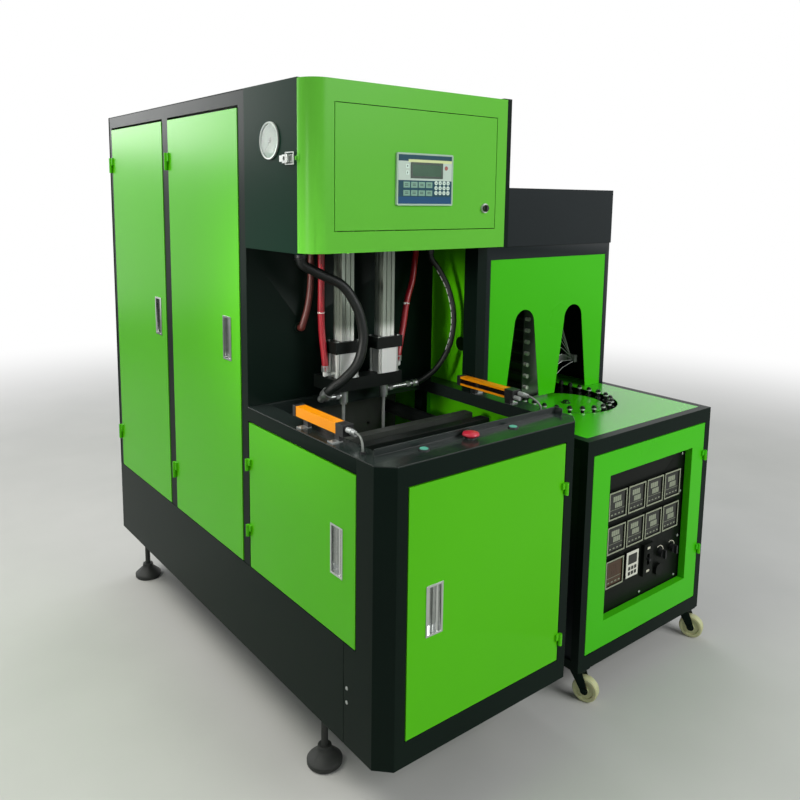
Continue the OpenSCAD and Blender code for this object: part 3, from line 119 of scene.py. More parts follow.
def softbox(name, place, aim, size, power, tint, spread=180):
    """Rectangular lamp turned to a place; a spread in degrees narrows its beam."""
    lamp = bpy.data.lights.new(name, "AREA")
    lamp.shape = "RECTANGLE"
    lamp.size, lamp.size_y = size
    lamp.energy = power
    lamp.color = linear(tint)[:3]
    lamp.spread = math.radians(spread)
    made = bpy.data.objects.new(name, lamp)
    bpy.context.collection.objects.link(made)
    made.location = place
    made.rotation_mode = "QUATERNION"
    made.rotation_quaternion = (Vector(aim) - Vector(place)).to_track_quat("-Z", "Y")


softbox("left_light", (-2.5, 0.7, 4.3), (-0.4, 0, 1.5), (3.4, 1.8), 120, "#fffdf6")
softbox("front_light", (1.4, -4.6, 3.2), (0.2, 0, 0.9), (3.0, 2.2), 142, "#ffffff")
softbox("top_light", (0.4, 1.6, 4.2), (0, 0.2, 1.0), (4.0, 2.0), 60, "#f8fbff")
softbox("glint_light", (-2.75, 5.3, 2.8), (-0.7, 0.8, 1.8), (2.2, 1.5), 62, "#ffffff")
softbox("table_light", (-3.0, -0.75, 1.75), (-0.08, -0.35, 1.2), (0.5, 0.4), 0.9, "#fffdf6", 22)

world = bpy.data.worlds.new("surround")
bpy.context.scene.world = world
tree = empty_tree(world)
rays = add(tree, "LightPath")
seen = add(tree, "Math", {0: rays.outputs["Is Camera Ray"], 1: rays.outputs["Is Glossy Ray"]},
           operation="ADD")
seen = add(tree, "Math", {0: seen.outputs[0], 1: rays.outputs["Is Transmission Ray"]}, operation="ADD",
           use_clamp=True)
glow = add(tree, "Background", {"Color": linear("#e9edf0"), "Strength": 0.33})
white = add(tree, "Background", {"Color": (1, 1, 1, 1), "Strength": 1.0})
mix = add(tree, "MixShader", {0: seen.outputs[0], 1: glow.outputs[0], 2: white.outputs[0]})
add(tree, "OutputWorld", {"Surface": mix.outputs[0]})

floor_reach = 9.0
floor_mesh = bpy.data.meshes.new("floor")
disc = bmesh.new()
bmesh.ops.create_circle(disc, cap_ends=True, segments=96, radius=floor_reach)
disc.to_mesh(floor_mesh)
disc.free()
floor = bpy.data.objects.new("floor", floor_mesh)
bpy.context.collection.objects.link(floor)
concrete = bpy.data.materials.new("pale_concrete")
tree = empty_tree(concrete)
where = add(tree, "TexCoord")
mottle = add(tree, "TexNoise", {"Vector": where.outputs["Object"], "Scale": 2.2, "Detail": 6.0})
shade = add(tree, "MixRGB", {0: mottle.outputs["Fac"], 1: linear("#c4c5c1"), 2: linear("#d2d2ce")})
paved = add(tree, "BsdfDiffuse", {"Color": shade.outputs[0]})
away = add(tree, "VectorMath", {0: where.outputs["Object"]}, operation="LENGTH")
fade = add(tree, "MapRange", {"Value": away.outputs["Value"], "From Min": 2.6, "From Max": 6.5},
           interpolation_type="SMOOTHSTEP")
rays = add(tree, "LightPath")
share = add(tree, "Math", {0: fade.outputs[0], 1: rays.outputs["Is Camera Ray"]}, operation="MULTIPLY")
bright = add(tree, "Emission", {"Color": (1, 1, 1, 1), "Strength": 1.0})
mix = add(tree, "MixShader", {0: share.outputs[0], 1: paved.outputs[0], 2: bright.outputs[0]})
add(tree, "OutputMaterial", {"Surface": mix.outputs[0]})
floor_mesh.materials.append(concrete)


# Blowing hoses. Two high pressure hoses of black rubber bring the blowing air down from the
# head to the nozzles. Each sags freely and is crimped into a ferrule at both ends, a blackened
# one at the head's gland and a plated one at the nozzle's port.
origin_x, origin_y = 771.0, 908.75
mm = 0.001


def at(x, y, z):
    """A place on the machine in millimetres from its front left corner at the floor."""
    return Vector(((x - origin_x) * mm, (y - origin_y) * mm, z * mm))


def finish(name, colour, roughness, dark=None, patch=60.0, grain=0.0, relief=0.0, gloss_change=0.02,
           **sockets):
    """Surface whose colour drifts between two tones over patches of a size in millimetres, with
    a fine relief of a given grain and height, also in millimetres. Real grains are often under
    3 mm, which doesn't show from here, so none is drawn finer than that."""
    material = bpy.data.materials.new(name)
    tree = empty_tree(material)
    where = add(tree, "TexCoord")
    drift = add(tree, "TexNoise", {"Vector": where.outputs["Object"], "Scale": 1 / (patch * mm),
                                   "Detail": 4.0})
    tone = add(tree, "MixRGB", {0: drift.outputs["Fac"], 1: linear(dark or colour), 2: linear(colour)})
    rough = add(tree, "MapRange", {"Value": drift.outputs["Fac"], "From Min": 0.2, "From Max": 0.8,
                                   "To Min": roughness - gloss_change, "To Max": roughness + gloss_change},
                interpolation_type="SMOOTHSTEP")
    inputs = {"Base Color": tone.outputs[0], "Roughness": rough.outputs[0], **sockets}
    if grain:
        fine = add(tree, "TexNoise", {"Vector": where.outputs["Object"], "Scale": 1 / (grain * mm),
                                      "Detail": 3.0})
        bump = add(tree, "Bump", {"Height": fine.outputs["Fac"], "Distance": relief * mm, "Strength": 1.0})
        inputs["Normal"] = bump.outputs[0]
    surface = add(tree, "BsdfPrincipled", inputs)
    add(tree, "OutputMaterial", {"Surface": surface.outputs[0]})
    return material


# Rubber with the mark of its wrapping cloth: a satin black that never looks wet
hose_rubber = finish("wrapped_rubber", "#101513", 0.46, dark="#0b0f0d", patch=25, grain=5, relief=0.3,
                     **{"Specular IOR Level": 0.3})
# White ink rolled on the rubber: matt and a little worn
hose_print = finish("printed_white_line", "#f0f2ee", 0.5, dark="#dcdfda", patch=12)
# Red polyurethane tube, smooth and slightly clouded, so its highlights stay soft
red_tube = finish("polyurethane_tube", "#b31b29", 0.34, dark="#86111d", patch=30, grain=8, relief=0.1)
# The middle tube has browned with heat and lost its gloss
aged_tube = finish("polyurethane_tube_aged", "#6a2c24", 0.42, dark="#4b201b", patch=30, grain=8,
                   relief=0.1)
# Zinc plated steel: pale, a little milky, with darker patches where it was handled
zinc = finish("zinc_plate", "#c3c7c5", 0.34, dark="#9ba09e", patch=9, grain=3, relief=0.04,
              Metallic=0.85)
# Blackened steel of the crimped sleeves: dull, with a grey bloom on its edges
crimp_black = finish("crimped_sleeve", "#15181a", 0.45, dark="#0e1011", patch=9, grain=3, relief=0.05)

hose_left_d = 30
hose_left_route = [[118, 560, 1455.7], [118, 560, 1444], [127, 558, 1425], [172, 550, 1400],
                   [240, 526, 1362], [280, 509, 1298], [297, 502, 1232], [296, 500, 1180],
                   [277, 502, 1124], [240, 514, 1082], [209, 531, 1055], [200, 547.8, 1036.2],
                   [200, 559.8, 1027.2]]
hose_right_d = 18
hose_right_route = [[612, 560, 1455.7], [612, 560, 1442], [617, 558, 1422], [641, 545, 1382],
                    [660, 526, 1330], [668, 509, 1264], [667, 504, 1206], [659, 508, 1150],
                    [643, 522, 1098], [618, 541, 1054], [592, 566, 1024], [572, 580, 1012],
                    [553.3, 580, 1012]]
# How far the ferrule's sleeve and the rib at its end stand out from the hose
sleeve, rib = 2.2, 3.4


def smooth_line(route, steps):
    """Points along a smooth curve through a route in millimetres."""
    points = [at(*p) for p in route]
    line = []
    for i in range(len(points) - 1):
        a, b, c, d = (points[max(0, min(len(points) - 1, i + k))] for k in (-1, 0, 1, 2))
        for s in range(steps):
            t = s / steps
            line.append(0.5 * (2 * b + (c - a) * t + (2 * a - 5 * b + 4 * c - d) * t ** 2
                               + (3 * b - a - 3 * c + d) * t ** 3))
    return line + [points[-1]]


def new_piece(name, solid, materials, width=0.0):
    """Object made from a bmesh: smooth but for its edges, which are rounded by so many millimetres."""
    mesh = bpy.data.meshes.new(name)
    solid.normal_update()
    solid.to_mesh(mesh)
    solid.free()
    for material in materials:
        mesh.materials.append(material)
    for face in mesh.polygons:
        face.use_smooth = True
    mesh.set_sharp_from_angle(angle=math.radians(35))
    piece = bpy.data.objects.new(name, mesh)
    bpy.context.collection.objects.link(piece)
    if width:
        rounding = piece.modifiers.new("rounding", "BEVEL")
        rounding.width = width * mm
        rounding.segments = 2
        rounding.limit_method = "ANGLE"
        rounding.angle_limit = math.radians(40)
        rounding.harden_normals = True
    return piece


def sweep(solid, line, radius, sides=20, marked=None):
    """Round tube along a line. Faces for which marked(ring, side) is true get the second material."""
    normal = Vector((0.2, 1, 0.1))
    rings = []
    for i, point in enumerate(line):
        along = (line[min(i + 1, len(line) - 1)] - line[max(i - 1, 0)]).normalized()
        normal = (normal - along * normal.dot(along)).normalized()
        across = along.cross(normal)
        rings.append([solid.verts.new(point + radius * (math.cos(a) * normal + math.sin(a) * across))
                      for a in (2 * math.pi * k / sides for k in range(sides))])
    for i in range(len(rings) - 1):
        for k in range(sides):
            quad = solid.faces.new((rings[i][k], rings[i][(k + 1) % sides],
                                    rings[i + 1][(k + 1) % sides], rings[i + 1][k]))
            if marked and marked(i, k):
                quad.material_index = 1
    solid.faces.new(rings[0][::-1])
    solid.faces.new(rings[-1])


for side, route, thick in (("left", hose_left_route, hose_left_d),
                           ("right", hose_right_route, hose_right_d)):
    line = smooth_line(route, 10)
    # Only the thinner hose carries a printed line, which shows as dashes along its middle
    dashes = (lambda i, k: k in (14, 15) and 26 < i < 76 and i % 4 < 3) if side == "right" else None
    solid = bmesh.new()
    sweep(solid, line, thick / 2 * mm, marked=dashes)
    hose = new_piece("blowing_hose_" + side, solid, [hose_rubber, hose_print])
    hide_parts("hose_" + side)
    body = "nozzle_" + side + "_body"
    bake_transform(hose)
    solid = bmesh.new()
    sweep(solid, line[:9], (thick / 2 + sleeve) * mm, 16)
    sweep(solid, line[9:11], (thick / 2 + rib) * mm, 16)
    top = new_piece("hose_ferrule_top_" + side, solid, [crimp_black])
    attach(top, "machine")
    solid = bmesh.new()
    sweep(solid, line[-12:], (thick / 2 + sleeve) * mm, 16)
    sweep(solid, line[-14:-12], (thick / 2 + rib) * mm, 16)
    foot = new_piece("hose_ferrule_foot_" + side, solid, [zinc])
    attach(foot, body)


# Air hoses. Three red tubes bring air to the two seal cylinders and to the wall; the outer two
# are pushed onto plated elbow unions, and each has a white tie pulled tight round it.
def block(solid, low, high):
    """Adds a box between two corners in metres."""
    low, high = Vector(low), Vector(high)
    made = bmesh.ops.create_cube(solid, size=1.0)["verts"]
    bmesh.ops.scale(solid, vec=high - low, verts=made)
    bmesh.ops.translate(solid, vec=(low + high) / 2, verts=made)


air_hose_d = 20
air_hose_routes = [
    [[215, 602, 1455.7], [215, 602, 1380], [214, 601, 1330], [213, 600, 1274], [214, 597, 1210],
     [217, 590, 1150], [218, 586, 1120], [218, 586, 1096]],
    [[203, 640, 1455.7], [203, 640, 1442], [203, 640, 1400], [200, 640, 1345], [193, 642, 1295],
     [184, 645, 1258], [178, 649, 1234], [176, 652, 1224], [176, 661.7, 1224]],
    [[610, 636, 1455.7], [610, 636, 1442], [604, 632, 1418], [586, 623, 1350], [556, 612, 1286],
     [533, 603, 1200], [511, 592, 1140], [502, 586, 1118], [502, 586, 1096]]]
tie_heights = (1276, None, 1274)
# Nylon strap: milky white, satin from its mould
tie_nylon = finish("nylon_tie", "#e4e5df", 0.4, dark="#cfd0ca", patch=15)
for i, route in enumerate(air_hose_routes):
    line = smooth_line(route, 8)
    solid = bmesh.new()
    sweep(solid, line, air_hose_d / 2 * mm)
    hose = new_piece(f"air_hose_{i + 1}", solid, [aged_tube if i == 1 else red_tube])
    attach(hose, "machine")
    if i == 0:
        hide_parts("air_hoses")
    if tie_heights[i] is None:
        continue
    solid = bmesh.new()
    tied = min(range(len(line)), key=lambda n: abs(line[n].z - tie_heights[i] * mm))
    along = (line[tied + 1] - line[tied]).normalized() * 1.4 * mm
    sweep(solid, [line[tied] - along, line[tied] + along], (air_hose_d / 2 + 1.1) * mm)
    # Head of the tie, where the strap is pulled through
    block(solid, line[tied] + Vector((-13.5, -6, -1.5)) * mm, line[tied] + Vector((-8, -1, 3)) * mm)
    tie = new_piece(f"air_hose_tie_{i + 1}", solid, [tie_nylon])
    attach(tie, "machine")


def dressed(node, material, width=1.2):
    """The node's own shape with its edges rounded, so that they catch the light as bent sheet does."""
    source = frame["nodes"][node]
    solid = bmesh.new()
    solid.from_mesh(source.data)
    bmesh.ops.remove_doubles(solid, verts=solid.verts, dist=0.02 * mm)
    bmesh.ops.dissolve_limit(solid, angle_limit=math.radians(1), verts=solid.verts, edges=solid.edges)
    piece = new_piece(node + "_finished", solid, [material], width)
    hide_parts(node)
    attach(piece, source["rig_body"])
    return piece


# Black enamel on steel sheet: deep and even, with the faint orange peel of spraying,
# drawn at 9 mm, which is coarser than the real 3 mm, so that it shows.
black_enamel = finish("black_enamel", "#0e1c16", 0.32, dark="#0c1813", patch=180, grain=9, relief=0.05,
                      gloss_change=0.01, **{"Specular IOR Level": 0.06})
for node in ("frame", "cabinet_panels", "heater_frame"):
    dressed(node, black_enamel)
# Painted light and sheen: the head's side is a lighter, greener copy of the black enamel, as it faces the
# light
head_black_lit = finish("black_enamel_head", "#0f2c20", 0.3, dark="#0d271c", patch=200, grain=9, relief=0.05,
                    gloss_change=0.01, **{"Specular IOR Level": 0.03})
dressed("head_shell", head_black_lit)
# Painted light: the heater's big header sheet is a lighter, cooler copy of the black enamel, as it hangs
# nearer the light
header_enamel_lit = finish("black_enamel_header", "#182022", 0.34, dark="#141b1d", patch=200, grain=9,
                       relief=0.05, gloss_change=0.01, **{"Specular IOR Level": 0.14})
dressed("heater_panels", header_enamel_lit)


# Side sheet's screws. Two zinc plated button heads near its left front corner hold the cabinet's
# side sheet to the frame.
def round_bar(solid, centre, axis, radius, depth, sides=24, tip=1.0):
    """Adds a cylinder, or a cone whose far end has tip times the radius, from centre along axis."""
    made = bmesh.ops.create_cone(solid, cap_ends=True, segments=sides, radius1=radius,
                                 radius2=radius * tip, depth=depth)["verts"]
    turn = Vector(axis).to_track_quat("Z", "Y").to_matrix()
    bmesh.ops.translate(solid, vec=(0, 0, depth / 2), verts=made)
    bmesh.ops.rotate(solid, cent=(0, 0, 0), matrix=turn, verts=made)
    bmesh.ops.translate(solid, vec=centre, verts=made)


def button_screws(name, places, axis, radius, body, material):
    """One piece of dome headed screws, seated on a face."""
    solid = bmesh.new()
    for place in places:
        round_bar(solid, place, axis, radius, radius * 0.35, 16, 0.98)
        round_bar(solid, place + Vector(axis) * radius * 0.35, axis, radius * 0.97, radius * 0.25, 16, 0.55)
    piece = new_piece(name, solid, [material])
    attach(piece, body)


left, front, upright = (-1, 0, 0), (0, -1, 0), (0, 0, 1)
button_screws("side_sheet_screws", [at(0, 146, z) for z in (340, 379)], left, 5 * mm, "machine", zinc)

# Levelling feet. Cast cones with a ribbed rubber face on a threaded stem and lock nut;
# the rubber is dusty and dull.
foot_rubber = finish("foot_rubber", "#262a26", 0.62, dark="#181b18", patch=22, grain=4, relief=0.3)
dressed("levelling_feet", foot_rubber, 0.8)


# Side doors and front door. Steel sheet folded into pans and sprayed bright green; weld-on
# hinges carry them and each has a chrome pull let in near its free edge.
# Green gloss enamel: saturated, mirroring the light softly, its orange peel drawn at 11 mm.
green_enamel = finish("green_enamel", "#56c309", 0.26, dark="#52be07", patch=400, grain=11, relief=0.05,
                      gloss_change=0.01, **{"Specular IOR Level": 0.16})
for node in ("door_rear", "door_middle", "door_low", "door_front", "right_panels"):
    dressed(node, green_enamel, 1.4)
dressed("hinge_pins", green_enamel, 0.8)

# Chrome on pressed zinc: the pulls, the lock and the latch. Nearly mirror smooth.
chrome = finish("bright_chrome", "#d4d6d4", 0.14, dark="#c2c5c4", patch=14, gloss_change=0.03,
                Metallic=1.0)
for place in ("rear", "middle", "low", "front"):
    dressed("handle_" + place, chrome, 0.9)
# Ground chrome plate, which spreads its highlights and stays pale where it faces dark things
satin_chrome = finish("satin_chrome", "#c8ccc8", 0.3, dark="#b4b9b5", patch=14, Metallic=0.55)

# Head. A black box carries the cylinders; its green front cover is bent round the left corner
# and holds a hinged control door, a toggle latch and the line pressure gauge.
# The same gloss enamel on the head, drawn paler and less yellow: painted light, as the head catches more
# light than the doors
head_enamel_lit = finish("green_enamel_head", "#65bf3a", 0.3, dark="#61bb37", patch=400, grain=11,
                     relief=0.05, gloss_change=0.01, **{"Specular IOR Level": 0.12})
dressed("head_cover", head_enamel_lit, 1.4)
dressed("control_door", head_enamel_lit, 1.0)
for node in ("latch_base", "latch_lever", "latch_bail"):
    dressed(node, satin_chrome, 0.5)
# The control door's lock: a chrome rose round a dark, polished barrel with a wing to turn it by
barrel_black = finish("barrel_black", "#16220f", 0.18, dark="#10190b", patch=12)
lock = dressed("door_lock", satin_chrome, 0.5)
lock.data.materials.append(barrel_black)
rose_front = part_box("control_door")[0].y - 6.5 * mm
for face in lock.data.polygons:
    if face.center.y < rose_front:
        face.material_index = 1

# Operator panel: pale grey-green frame of moulded ABS with a printed film, a small display
# under a dark window, eight oblong keys and twelve round ones.
# Moulded ABS of the frame: matt, with a fine even grain
bezel_plastic = finish("moulded_abs", "#a9c4ad", 0.45, dark="#9db7a2", patch=30, grain=3, relief=0.04)
# Printed polyester film: flat, even colours with a matt face
film_blue = finish("film_dark_blue", "#234d5c", 0.4, dark="#204753", patch=60,
                   **{"Specular IOR Level": 0.15})
film_foot = finish("film_light_blue", "#22527a", 0.4, dark="#1f4b6f", patch=60,
                   **{"Specular IOR Level": 0.15})
film_white = finish("film_white", "#bfd2c4", 0.42, dark="#b2c5b7", patch=40)
film_cream = finish("film_cream", "#d3dfa2", 0.42, dark="#cad795", patch=40)
# The display's tinted window: dark green and glossier than the film round it
display_glass = finish("display_window", "#2c5a3e", 0.2, dark="#244c33", patch=30)
display_frame = finish("display_frame", "#1f3b29", 0.4, dark="#193021", patch=30)
# The keys are raised in the same film and as matt as it is; their marks are printed ink
key_green = finish("key_grey_green", "#79a892", 0.45, dark="#6b9783", patch=8)
key_white = finish("key_white", "#d9ede0", 0.4, dark="#c9dfd1", patch=8)
key_red = finish("key_red", "#a3524a", 0.4, dark="#8f453e", patch=8)
key_ink = finish("key_ink", "#35564d", 0.5, dark="#2b483f", patch=8)
dressed("hmi_panel", bezel_plastic, 0.6)
panel_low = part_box("hmi_panel")[0]
film_y = panel_low.y + 1.0 * mm


def panel_plate(solid, x0, z0, x1, z1, proud):
    """Thin plate on the panel's face, in millimetres from its lower left corner."""
    block(solid, (panel_low.x + x0 * mm, film_y - proud * mm, panel_low.z + z0 * mm),
          (panel_low.x + x1 * mm, film_y + 0.3 * mm, panel_low.z + z1 * mm))


def panel_group(name, plates, material, proud, width=0.0):
    """One piece of several plates on the panel, which stand proud of it by so many millimetres."""
    solid = bmesh.new()
    for plate in plates:
        panel_plate(solid, *plate, proud)
    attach(new_piece(name, solid, [material], width), "control_door_body")


def panel_round_key(solid, x, z, radius):
    """Round key, a little smaller at its face."""
    round_bar(solid, (panel_low.x + x * mm, film_y + 0.2 * mm, panel_low.z + z * mm), front,
              radius * mm, 1.2 * mm, 20, 0.9)


panel_group("panel_film_blue", [(5, 24, 199, 69), (5, 121, 199, 138)], film_blue, 0.1)
panel_group("panel_film_foot", [(5, 5, 199, 24)], film_foot, 0.1)
panel_group("panel_film_white", [(5, 69, 48, 121), (165, 69, 199, 118), (48, 69, 165, 75)],
            film_white, 0.1)
panel_group("panel_film_cream", [(40, 118, 199, 126)], film_cream, 0.2)
panel_group("panel_display_frame", [(47.6, 74.6, 55, 118.4), (158, 74.6, 165.4, 118.4),
                                    (55, 74.6, 158, 81), (55, 112, 158, 118.4)], display_frame, 0.95, 0.2)
panel_group("panel_display", [(54, 80, 159, 113)], display_glass, 0.7)
oblong = [(22.5 + 27 * i, 27 + 22 * j, 45.5 + 27 * i, 42 + 23 * j) for i in range(4) for j in range(2)]
panel_group("panel_keys", oblong, key_green, 0.95, 0.3)
panel_group("panel_arrow_keys", [(30, 84, 42, 95), (30, 102, 42, 113)], key_white, 0.95, 0.3)
round_keys = [(140.5 + 15 * i, 35.5 + 13.7 * j) for i in range(4) for j in range(3)]
solid = bmesh.new()
for x, z in round_keys:
    panel_round_key(solid, x, z, 6.1)
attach(new_piece("panel_round_keys", solid, [key_white]), "control_door_body")
solid = bmesh.new()
panel_round_key(solid, 178, 105, 6.4)
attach(new_piece("panel_red_key", solid, [key_red]), "control_door_body")
# Marks on the keys: two bars on each oblong one, a dot on each round one
bars = [(x0 + 5, z0 + dz, x1 - 6, z0 + dz + 2) for x0, z0, x1, z1 in oblong for dz in (5, 9)]
arrows = [(34.5, 87, 37.5, 92), (34.5, 105, 37.5, 110)]
dots = [(x - 1.5, z - 1.5, x + 1.5, z + 1.5) for x, z in round_keys]
panel_group("panel_legends", bars + arrows + dots, key_ink, 1.15)

# Gauge. Pale enamelled dial behind clear glass in a chrome ring; marks and pointer are black.
# It is let into the head's side sheet, and its glass shows hardly a glint.
# Stoved enamel of the dial, pale and matt, drawn grey: painted shade, as it sits in the shade of its ring
dial_shaded = finish("dial_enamel", "#8fa598", 0.4, dark="#788f81", patch=9,
                    **{"Specular IOR Level": 0.05})
dial_ink = finish("dial_ink", "#20242a", 0.5, dark="#14171b", patch=10)
dressed("pressure_gauge", dial_shaded, 0.5)
dressed("gauge_pointer", dial_ink, 0.2)
gauge_low, gauge_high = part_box("pressure_gauge")
gauge_mid = (gauge_low + gauge_high) / 2
gauge_face = gauge_low.x + 4 * mm
gauge_r = (gauge_high.z - gauge_low.z) / 2


def ring(solid, centre, axis, profile, sides=64):
    """Turned ring: a closed profile of (radius, height) points in metres, spun round an axis."""
    turn = Vector(axis).to_track_quat("Z", "Y").to_matrix()
    rows = []
    for k in range(sides):
        a = 2 * math.pi * k / sides
        rows.append([solid.verts.new(turn @ Vector((r * math.cos(a), r * math.sin(a), h))
                                     + Vector(centre)) for r, h in profile])
    for k in range(sides):
        this, after = rows[k], rows[(k + 1) % sides]
        for i in range(len(profile)):
            n = (i + 1) % len(profile)
            solid.faces.new((this[i], after[i], after[n], this[n]))


solid = bmesh.new()
rim = [(-5.4, -3.8), (-5.4, -0.5), (-3, 0.2), (-1, 0.2), (0.3, -1.4), (0.3, -4.9)]
ring(solid, (gauge_low.x, gauge_mid.y, gauge_mid.z), left, [(gauge_r + r * mm, h * mm) for r, h in rim])
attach(new_piece("gauge_rim", solid, [satin_chrome]), "machine")
# Thirty parts over three quarters of a turn, every fifth mark longer and bolder
first_mark, mark_step, marks_end = -135, 9, gauge_r - 8 * mm
solid = bmesh.new()
for k in range(31):
    a = math.radians(first_mark + mark_step * k)
    long_mark = k % 5 == 0
    out = Vector((0, math.sin(a), math.cos(a)))
    start = gauge_r - (16 if long_mark else 12) * mm
    wide = (0.9 if long_mark else 0.5) * mm
    across = Vector((0, math.cos(a), -math.sin(a))) * wide
    face = Vector((gauge_face - 0.25 * mm, gauge_mid.y, gauge_mid.z))
    corners = [face + out * r + side for r, side in
               ((start, -across), (start, across), (marks_end, across), (marks_end, -across))]
    lower = [solid.verts.new(c) for c in corners]
    upper = [solid.verts.new(c + Vector((0.4 * mm, 0, 0))) for c in corners]
    solid.faces.new(lower)
    solid.faces.new(upper[::-1])
    for i in range(4):
        n = (i + 1) % 4
        solid.faces.new((lower[n], lower[i], upper[i], upper[n]))
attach(new_piece("gauge_marks", solid, [dial_ink]), "machine")
# Flat clear glass, so thin and even that only a faint sheen tells of it
clear_glass = finish("gauge_glass", "#ffffff", 0.04, patch=60, gloss_change=0.01,
                     **{"Transmission Weight": 1.0, "IOR": 1.45, "Alpha": 0.06,
                        "Specular IOR Level": 0.1})
solid = bmesh.new()
round_bar(solid, (gauge_low.x + 1.1 * mm, gauge_mid.y, gauge_mid.z), left,
          gauge_r - 5.2 * mm, 0.6 * mm, 64)
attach(new_piece("gauge_glass", solid, [clear_glass]), "machine")

# Table. A thick black plate with a turned-down pit over the clamp; its enamel is polished
# by hands and trays, so it is glossier than the casing.
# Its black is drawn lighter than the casing's: a painted sheen on top of the real gloss
table_enamel_and_sheen = finish("black_enamel_polished", "#222b28", 0.24, dark="#1b2321", patch=120, grain=12,
                      relief=0.05, gloss_change=0.01, **{"Specular IOR Level": 0.42})
dressed("table_top", table_enamel_and_sheen, 0.8)

# Push buttons. Moulded caps in thin dark rings: two flat turquoise start buttons and the red
# stop mushroom, whose ring is lower, so that it can be pressed home.
# Moulded caps, polished by fingers: strong even colours with a soft highlight
button_green = finish("button_green", "#66bfa8", 0.34, dark="#57af99", patch=12)
button_red = finish("button_red", "#cf2740", 0.34, dark="#bd2037", patch=12)
dressed("start_button_left", button_green, 0.8)
dressed("start_button_right", button_green, 0.8)
dressed("stop_button", button_red, 0.8)
button_x, button_y, table_z = (170, 330, 490), 60, 1000
solid = bmesh.new()
for x, top in zip(button_x, (3.8, 3.35, 3.8)):
    profile = [(11.4, 0), (11.4, 3.2), (13, top), (14.4, 3.2), (15, 0)]
    ring(solid, at(x, button_y, table_z), upright, [(r * mm, h * mm) for r, h in profile], 48)
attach(new_piece("button_rings", solid, [crimp_black]), "machine")

# Light curtains. Extruded aluminium in orange-yellow enamel with black moulded ends, a dark
# lens along the inner face, and plated plugs with a grey lead down to the table.
# Baked enamel on aluminium: a warm even orange, half gloss
orange_enamel = finish("orange_enamel", "#ffa106", 0.35, dark="#f89604", patch=60, grain=6, relief=0.05,
                       **{"Specular IOR Level": 0.3})
# Glass filled nylon of the ends and knobs: black, half matt, faintly grained
moulded_black = finish("moulded_black", "#17191a", 0.42, dark="#101213", patch=18, grain=3, relief=0.08)
# Acrylic lens, nearly black with a red cast; its polish draws the lamps out to a line
lens_dark = finish("lens_strip", "#1a0d10", 0.1, dark="#140a0c", patch=60, **{"Coat Weight": 0.8})
# Nickel plate on the plugs, a little dull, and the grey sheath of the lead
plug_grey = finish("plug_grey", "#c2c6c4", 0.35, dark="#a3a7a5", patch=7, Metallic=0.6)
lead_grey = finish("lead_grey", "#7f847f", 0.45, dark="#686d68", patch=20)
curtains = dressed("light_curtains", orange_enamel, 0.8)
curtain_y, curtain_l, curtain_w, curtain_h, cap_l, end_l, lift = 208, 232, 30, 28, 34, 14, 21
foot_places, foot_l, proud = (24, curtain_l - 56), 22.3, 1.6
lead_route = [[9, -40, 19], [9, -52, 18], [7, -66, 13], [3, -78, 4], [0, -84, -6], [0, -85, -15]]
# Only the extrusion between the moulded ends is orange; what else the node holds is black
curtains.data.materials.append(moulded_black)
for face in curtains.data.polygons:
    y, z = face.center.y / mm + origin_y - curtain_y, face.center.z / mm - table_z - lift
    if y < cap_l + 1 or y > curtain_l - 1 or z < -1:
        face.material_index = 1
for side, x in ((1, 28), (-1, 644)):
    base = at(x, curtain_y, table_z + lift)
    tag = "left" if side > 0 else "right"
    black = bmesh.new()
    # Moulded ends a little proud of the profile, and the feet below it
    for y0, y1 in ((0, cap_l), (curtain_l, curtain_l + end_l)):
        block(black, base + Vector((-proud, y0 - 0.4, -proud)) * mm,
              base + Vector((curtain_w + proud, y1 + 0.4, curtain_h + proud)) * mm)
    for y in foot_places:
        x0 = 3.6 if side > 0 else 13.6
        block(black, base + Vector((x0, y - 0.3, 0.5 - lift)) * mm,
              base + Vector((x0 + 12.8, y + foot_l, 0)) * mm)
    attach(new_piece("curtain_ends_" + tag, black, [moulded_black], 0.8), "machine")
    lens_strip = bmesh.new()
    x0, x1 = (curtain_w - 5.2, curtain_w - 3.6) if side > 0 else (3.6, 5.2)
    block(lens_strip, base + Vector((x0, cap_l, 6)) * mm,
          base + Vector((x1, curtain_l, curtain_h - 7)) * mm)
    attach(new_piece("curtain_lens_" + tag, lens_strip, [lens_dark]), "machine")
    plugs = bmesh.new()
    # The upper plug is stepped and carries the lead; the lower one is plain
    px = 9 if side > 0 else curtain_w - 9
    for y0, y1, r in ((-41, -25, 5.6), (-27, -6, 7.4), (-34, -30, 6.4)):
        round_bar(plugs, base + Vector((px, y1, curtain_h - 9)) * mm, front, r * mm, (y1 - y0) * mm, 20)
    px = 23 if side > 0 else curtain_w - 23
    round_bar(plugs, base + Vector((px, -1, 8)) * mm, front, 6.4 * mm, 21.4 * mm, 20)
    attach(new_piece("curtain_plugs_" + tag, plugs, [plug_grey], 0.4), "machine")
    plates = bmesh.new()
    for y in foot_places:
        x0, x1 = (-18.4, 16.2) if side > 0 else (13.8, curtain_w + 18.4)
        block(plates, base + Vector((x0, y - 0.3, -lift)) * mm,
              base + Vector((x1, y + foot_l, 3.6 - lift)) * mm)
    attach(new_piece("curtain_brackets_" + tag, plates, [zinc], 0.6), "machine")
    screw_x = -11 if side > 0 else curtain_w + 11
    button_screws("curtain_screws_" + tag,
                  [base + Vector((screw_x, y + 11, 3.6 - lift)) * mm for y in foot_places],
                  upright, 4 * mm, "machine", zinc)
    run = [[x + (p[0] if side > 0 else curtain_w - p[0]), curtain_y + p[1], table_z + lift + p[2]]
           for p in lead_route]
    solid = bmesh.new()
    sweep(solid, smooth_line(run, 6), 3.1 * mm, 12)
    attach(new_piece("curtain_lead_" + tag, solid, [lead_grey]), "machine")

